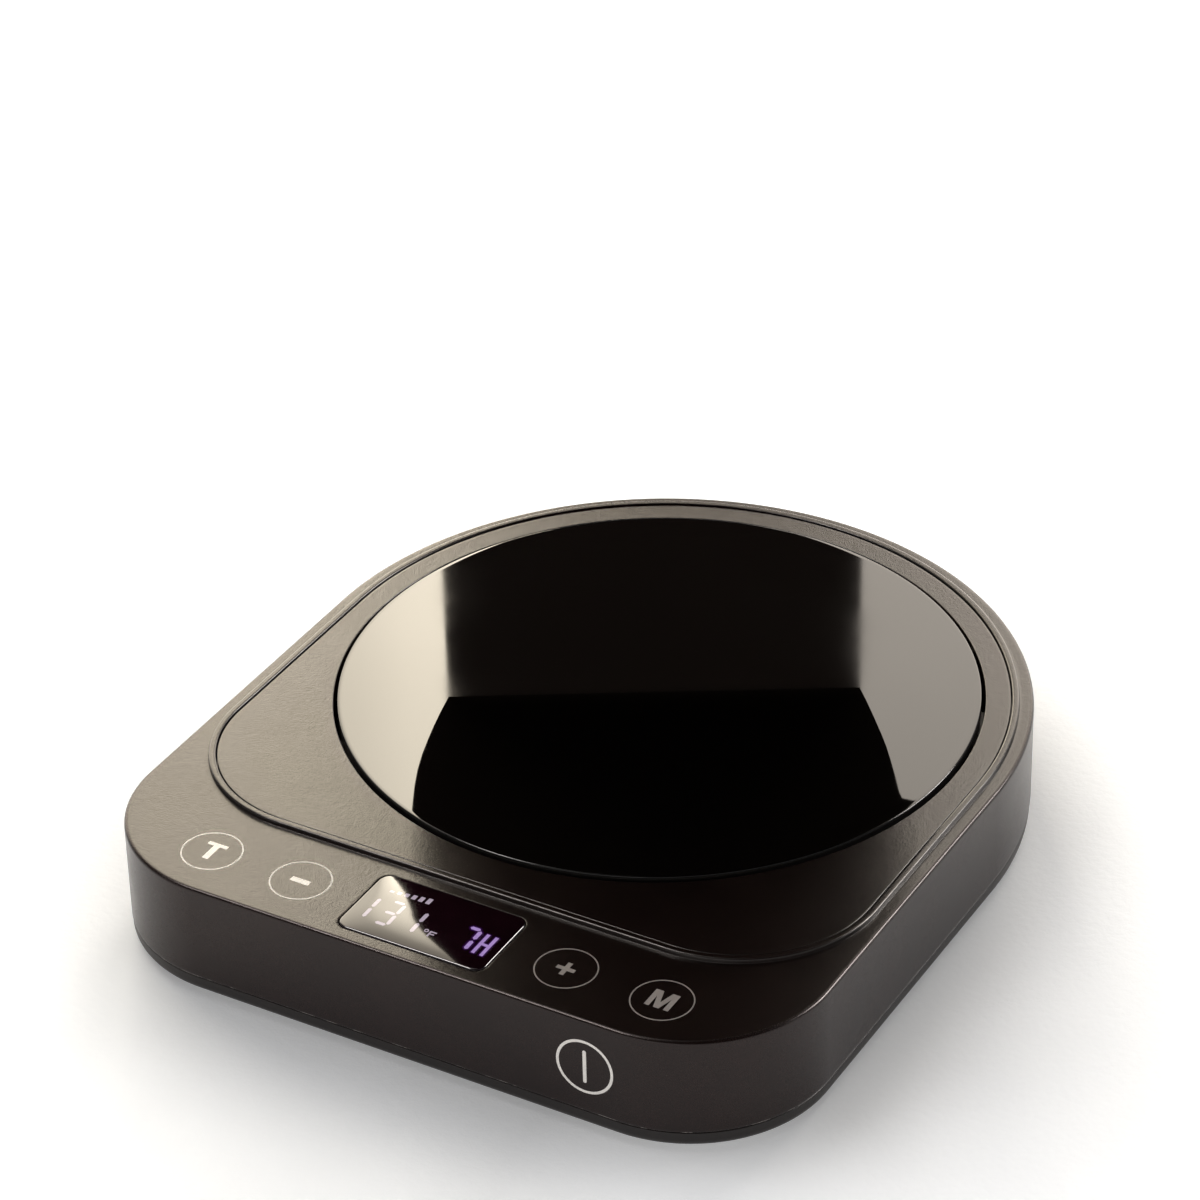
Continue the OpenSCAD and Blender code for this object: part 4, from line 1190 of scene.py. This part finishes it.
def around(m, spot, r0, r1, inside, outside):
    """Factor that goes from inside to outside with the distance from a spot."""
    d = m.nt.nodes.new("ShaderNodeVectorMath")
    d.operation = "DISTANCE"
    d.inputs[1].default_value = spot
    m.link(m.co, d.inputs[0])
    return m.map(d.outputs["Value"], r0, r1, inside, outside)


# a painted pool of light off the near corner, and a softer patch of painted shade beside it
glow = m.math("MULTIPLY", glow, around(m, (0.054, -0.077, 0.0), 0.008, 0.030, 1.5, 1.0))
glow = m.math("MULTIPLY", glow, around(m, (0.070, -0.022, 0.0), 0.012, 0.040, 0.88, 1.0))
glow = m.math("MINIMUM", glow, 0.68)
m.link(m.math("MULTIPLY", glow, m.map(cloud, 0.3, 0.7, 0.99, 1.01)), m.bsdf.inputs["Emission Strength"])
m.bump(grain, 0.00012, 1.0)
floor_mat = m.mat
stage_plane("floor", [(-4, -4, 0), (4, -4, 0), (4, 4, 0), (-4, 4, 0)], floor_mat)

# dark flag that keeps the back lights off the right half of the strip
AZ = math.radians(30.287)
side = Vector((math.cos(AZ), math.sin(AZ), 0))
mid = Vector((0, 0.010, 0))
m = Mat("flag_cloth")
m.color(m.ramp(m.noise(400.0, 2.0), [(0.3, (0.003, 0.003, 0.003)), (0.7, (0.006, 0.005, 0.004))]))
m.set(Roughness=0.9, Specular_IOR_Level=0.0)
FLAG = [(-33.8, 22.5), (32.2, 22.5), (33.3, 25.0), (34.4, 27.8), (35.9, 31.8), (36.7, 34.2), (37.4, 36.8), (38.0, 39.2),
        (38.5, 41.4), (38.9, 43.2), (39.4, 44.4), (42.0, 45.2), (42.0, 160.0), (-41.6, 160.0), (-41.6, 56.0),
        (-41.1, 50.0), (-40.75, 46.0), (-40.35, 42.6), (-39.95, 39.6), (-39.35, 36.6), (-38.5, 33.6), (-37.4, 30.6),
        (-36.4, 28.1), (-35.2, 25.4)]
flag = stage_plane("flag", [tuple(mid + side * u * 0.001)[:2] + (z * 0.001,) for u, z in FLAG], m.mat)
flag.visible_camera = False


def softbox(name, centre, look, width, height, radiance, color=(1, 1, 1), camera=False, glossy=True):
    """Upright or flat rectangular light of a given brightness."""
    l = bpy.data.lights.new(name, "AREA")
    l.shape = "RECTANGLE"
    l.size, l.size_y = width, height
    l.color = color
    l.energy = radiance * math.pi * width * height
    ob = bpy.data.objects.new(name, l)
    scene.collection.objects.link(ob)
    ob.location = centre
    d = (Vector(look) - Vector(centre)).normalized()
    ob.rotation_euler = d.to_track_quat("-Z", "Y").to_euler()
    ob.visible_camera = camera
    ob.visible_glossy = glossy
    return ob


def card(name, p, q, z0, z1, radiance, color, across, upward):
    """Upright lit card from p to q, with its brightness shaped both ways."""
    m = Mat(name)
    p, q = Vector((p[0], p[1], 0)), Vector((q[0], q[1], 0))
    d = (q - p).normalized()
    fall = m.math("MULTIPLY", shaped(m, tuple(d), p.dot(d), q.dot(d), across),
                  shaped(m, (0, 0, 1), z0, z1, upward))
    grain = m.map(m.noise(9.0, 2.0), 0.3, 0.7, 0.98, 1.02)
    m.color(m.ramp(grain, [(0.0, (0.0, 0.0, 0.0)), (1.0, (0.002, 0.002, 0.002))]))
    m.set(Roughness=1.0, Specular_IOR_Level=0.0, Emission_Color=color)
    m.link(m.math("MULTIPLY", m.math("MULTIPLY", fall, grain), radiance), m.bsdf.inputs["Emission Strength"])
    ob = stage_plane(name, [(p.x, p.y, z0), (q.x, q.y, z0), (q.x, q.y, z1), (p.x, p.y, z1)], m.mat)
    ob.visible_camera = False
    return ob


EYE = Vector((0.30129, -0.52402, 0.43209))


def along_sight(az_deg, t):
    a = math.radians(az_deg)
    return (EYE.x + t * math.cos(a), EYE.y + t * math.sin(a))


UP = [(0.0, 1.32), (0.17, 1.20), (0.42, 1.0), (0.58, 0.80), (0.77, 0.40), (1.0, 0.05)]
p = along_sight(122.60, 2.1)
card("key_back_left", p, (p[0] - 0.70, p[1] - 0.93), 0.12, 2.10, 11.5, (1.0, 0.90, 0.73),
     [(0.0, 1.08), (0.02, 1.03), (0.045, 0.88), (0.10, 0.70), (0.14, 0.47), (0.2, 0.43), (0.4, 0.40), (1.0, 0.30)], UP)
p = along_sight(116.42, 2.1)
card("back_right", p, (p[0] + 1.0, p[1] + 0.16), 0.12, 2.10, 4.5, (1.0, 0.91, 0.80),
     [(0.0, 1.0), (0.5, 1.0), (1.0, 0.8)], UP)
softbox("top", (-0.55, 0.13, 1.17), (0, 0, 0), 0.70, 0.60, 1.8, (1.0, 0.97, 0.94))
for name, at, width, radiance in (("edge_line", (-0.51, -0.38, 1.05), 0.34, 26.0), ("side_line", (0.73, 0.73, 0.67), 0.56, 38.0)):
    strip = softbox(name, at, (0, -0.05, 0), width, 0.28, radiance, (1.0, 0.95, 0.92))
    strip.visible_diffuse = False
softbox("front", (0.10, -1.6, 0.45), (0, 0, 0.05), 1.2, 0.6, 0.8, (1.0, 0.98, 0.96))

# surroundings: white low sweep, dim above
world = bpy.data.worlds.new("studio")
scene.world = world
world.use_nodes = True
nt = world.node_tree
bg = nt.nodes["Background"]
tc = nt.nodes.new("ShaderNodeTexCoord")
sep = nt.nodes.new("ShaderNodeSeparateXYZ")
nt.links.new(tc.outputs["Generated"], sep.inputs["Vector"])
rmp = nt.nodes.new("ShaderNodeValToRGB")
e = rmp.color_ramp.elements
e[0].position, e[0].color = 0.0, (0.95, 0.95, 0.95, 1)
e[1].position, e[1].color = 1.0, (0.012, 0.010, 0.010, 1)
x = e.new(0.18); x.color = (0.95, 0.95, 0.95, 1)
x = e.new(0.36); x.color = (0.014, 0.012, 0.011, 1)
nt.links.new(sep.outputs["Z"], rmp.inputs["Fac"])
nt.links.new(rmp.outputs["Color"], bg.inputs["Color"])
bg.inputs["Strength"].default_value = 1.0

# camera
cam = bpy.data.cameras.new("camera")
cam.lens = 137.96
cam.sensor_width = 36.0
cam.sensor_fit = "HORIZONTAL"
cam.clip_start, cam.clip_end = 0.05, 20.0
cam_ob = bpy.data.objects.new("camera", cam)
scene.collection.objects.link(cam_ob)
scene.camera = cam_ob
az, el, roll, dist = math.radians(30.287), math.radians(32.714), math.radians(-1.294), 0.76157
target = Vector((-0.021879, 0.029320, 0.0205))
back = Vector((math.sin(az) * math.cos(el), -math.cos(az) * math.cos(el), math.sin(el)))
fwd = -back
right = fwd.cross(Vector((0, 0, 1))).normalized()
up = right.cross(fwd)
r2 = right * math.cos(roll) + up * math.sin(roll)
u2 = up * math.cos(roll) - right * math.sin(roll)
mat = Matrix((r2, u2, back)).transposed().to_4x4()
mat.translation = target + back * dist
cam_ob.matrix_world = mat

scene.view_settings.view_transform = "Standard"
scene.view_settings.look = "None"
scene.view_settings.exposure = 0.0
scene.view_settings.gamma = 1.0
scene.cycles.use_denoising = True
scene.cycles.max_bounces = 8
scene.cycles.diffuse_bounces = 3
scene.cycles.glossy_bounces = 4
scene.cycles.sample_clamp_indirect = 4.0
scene.cycles.caustics_reflective = False
scene.cycles.caustics_refractive = False
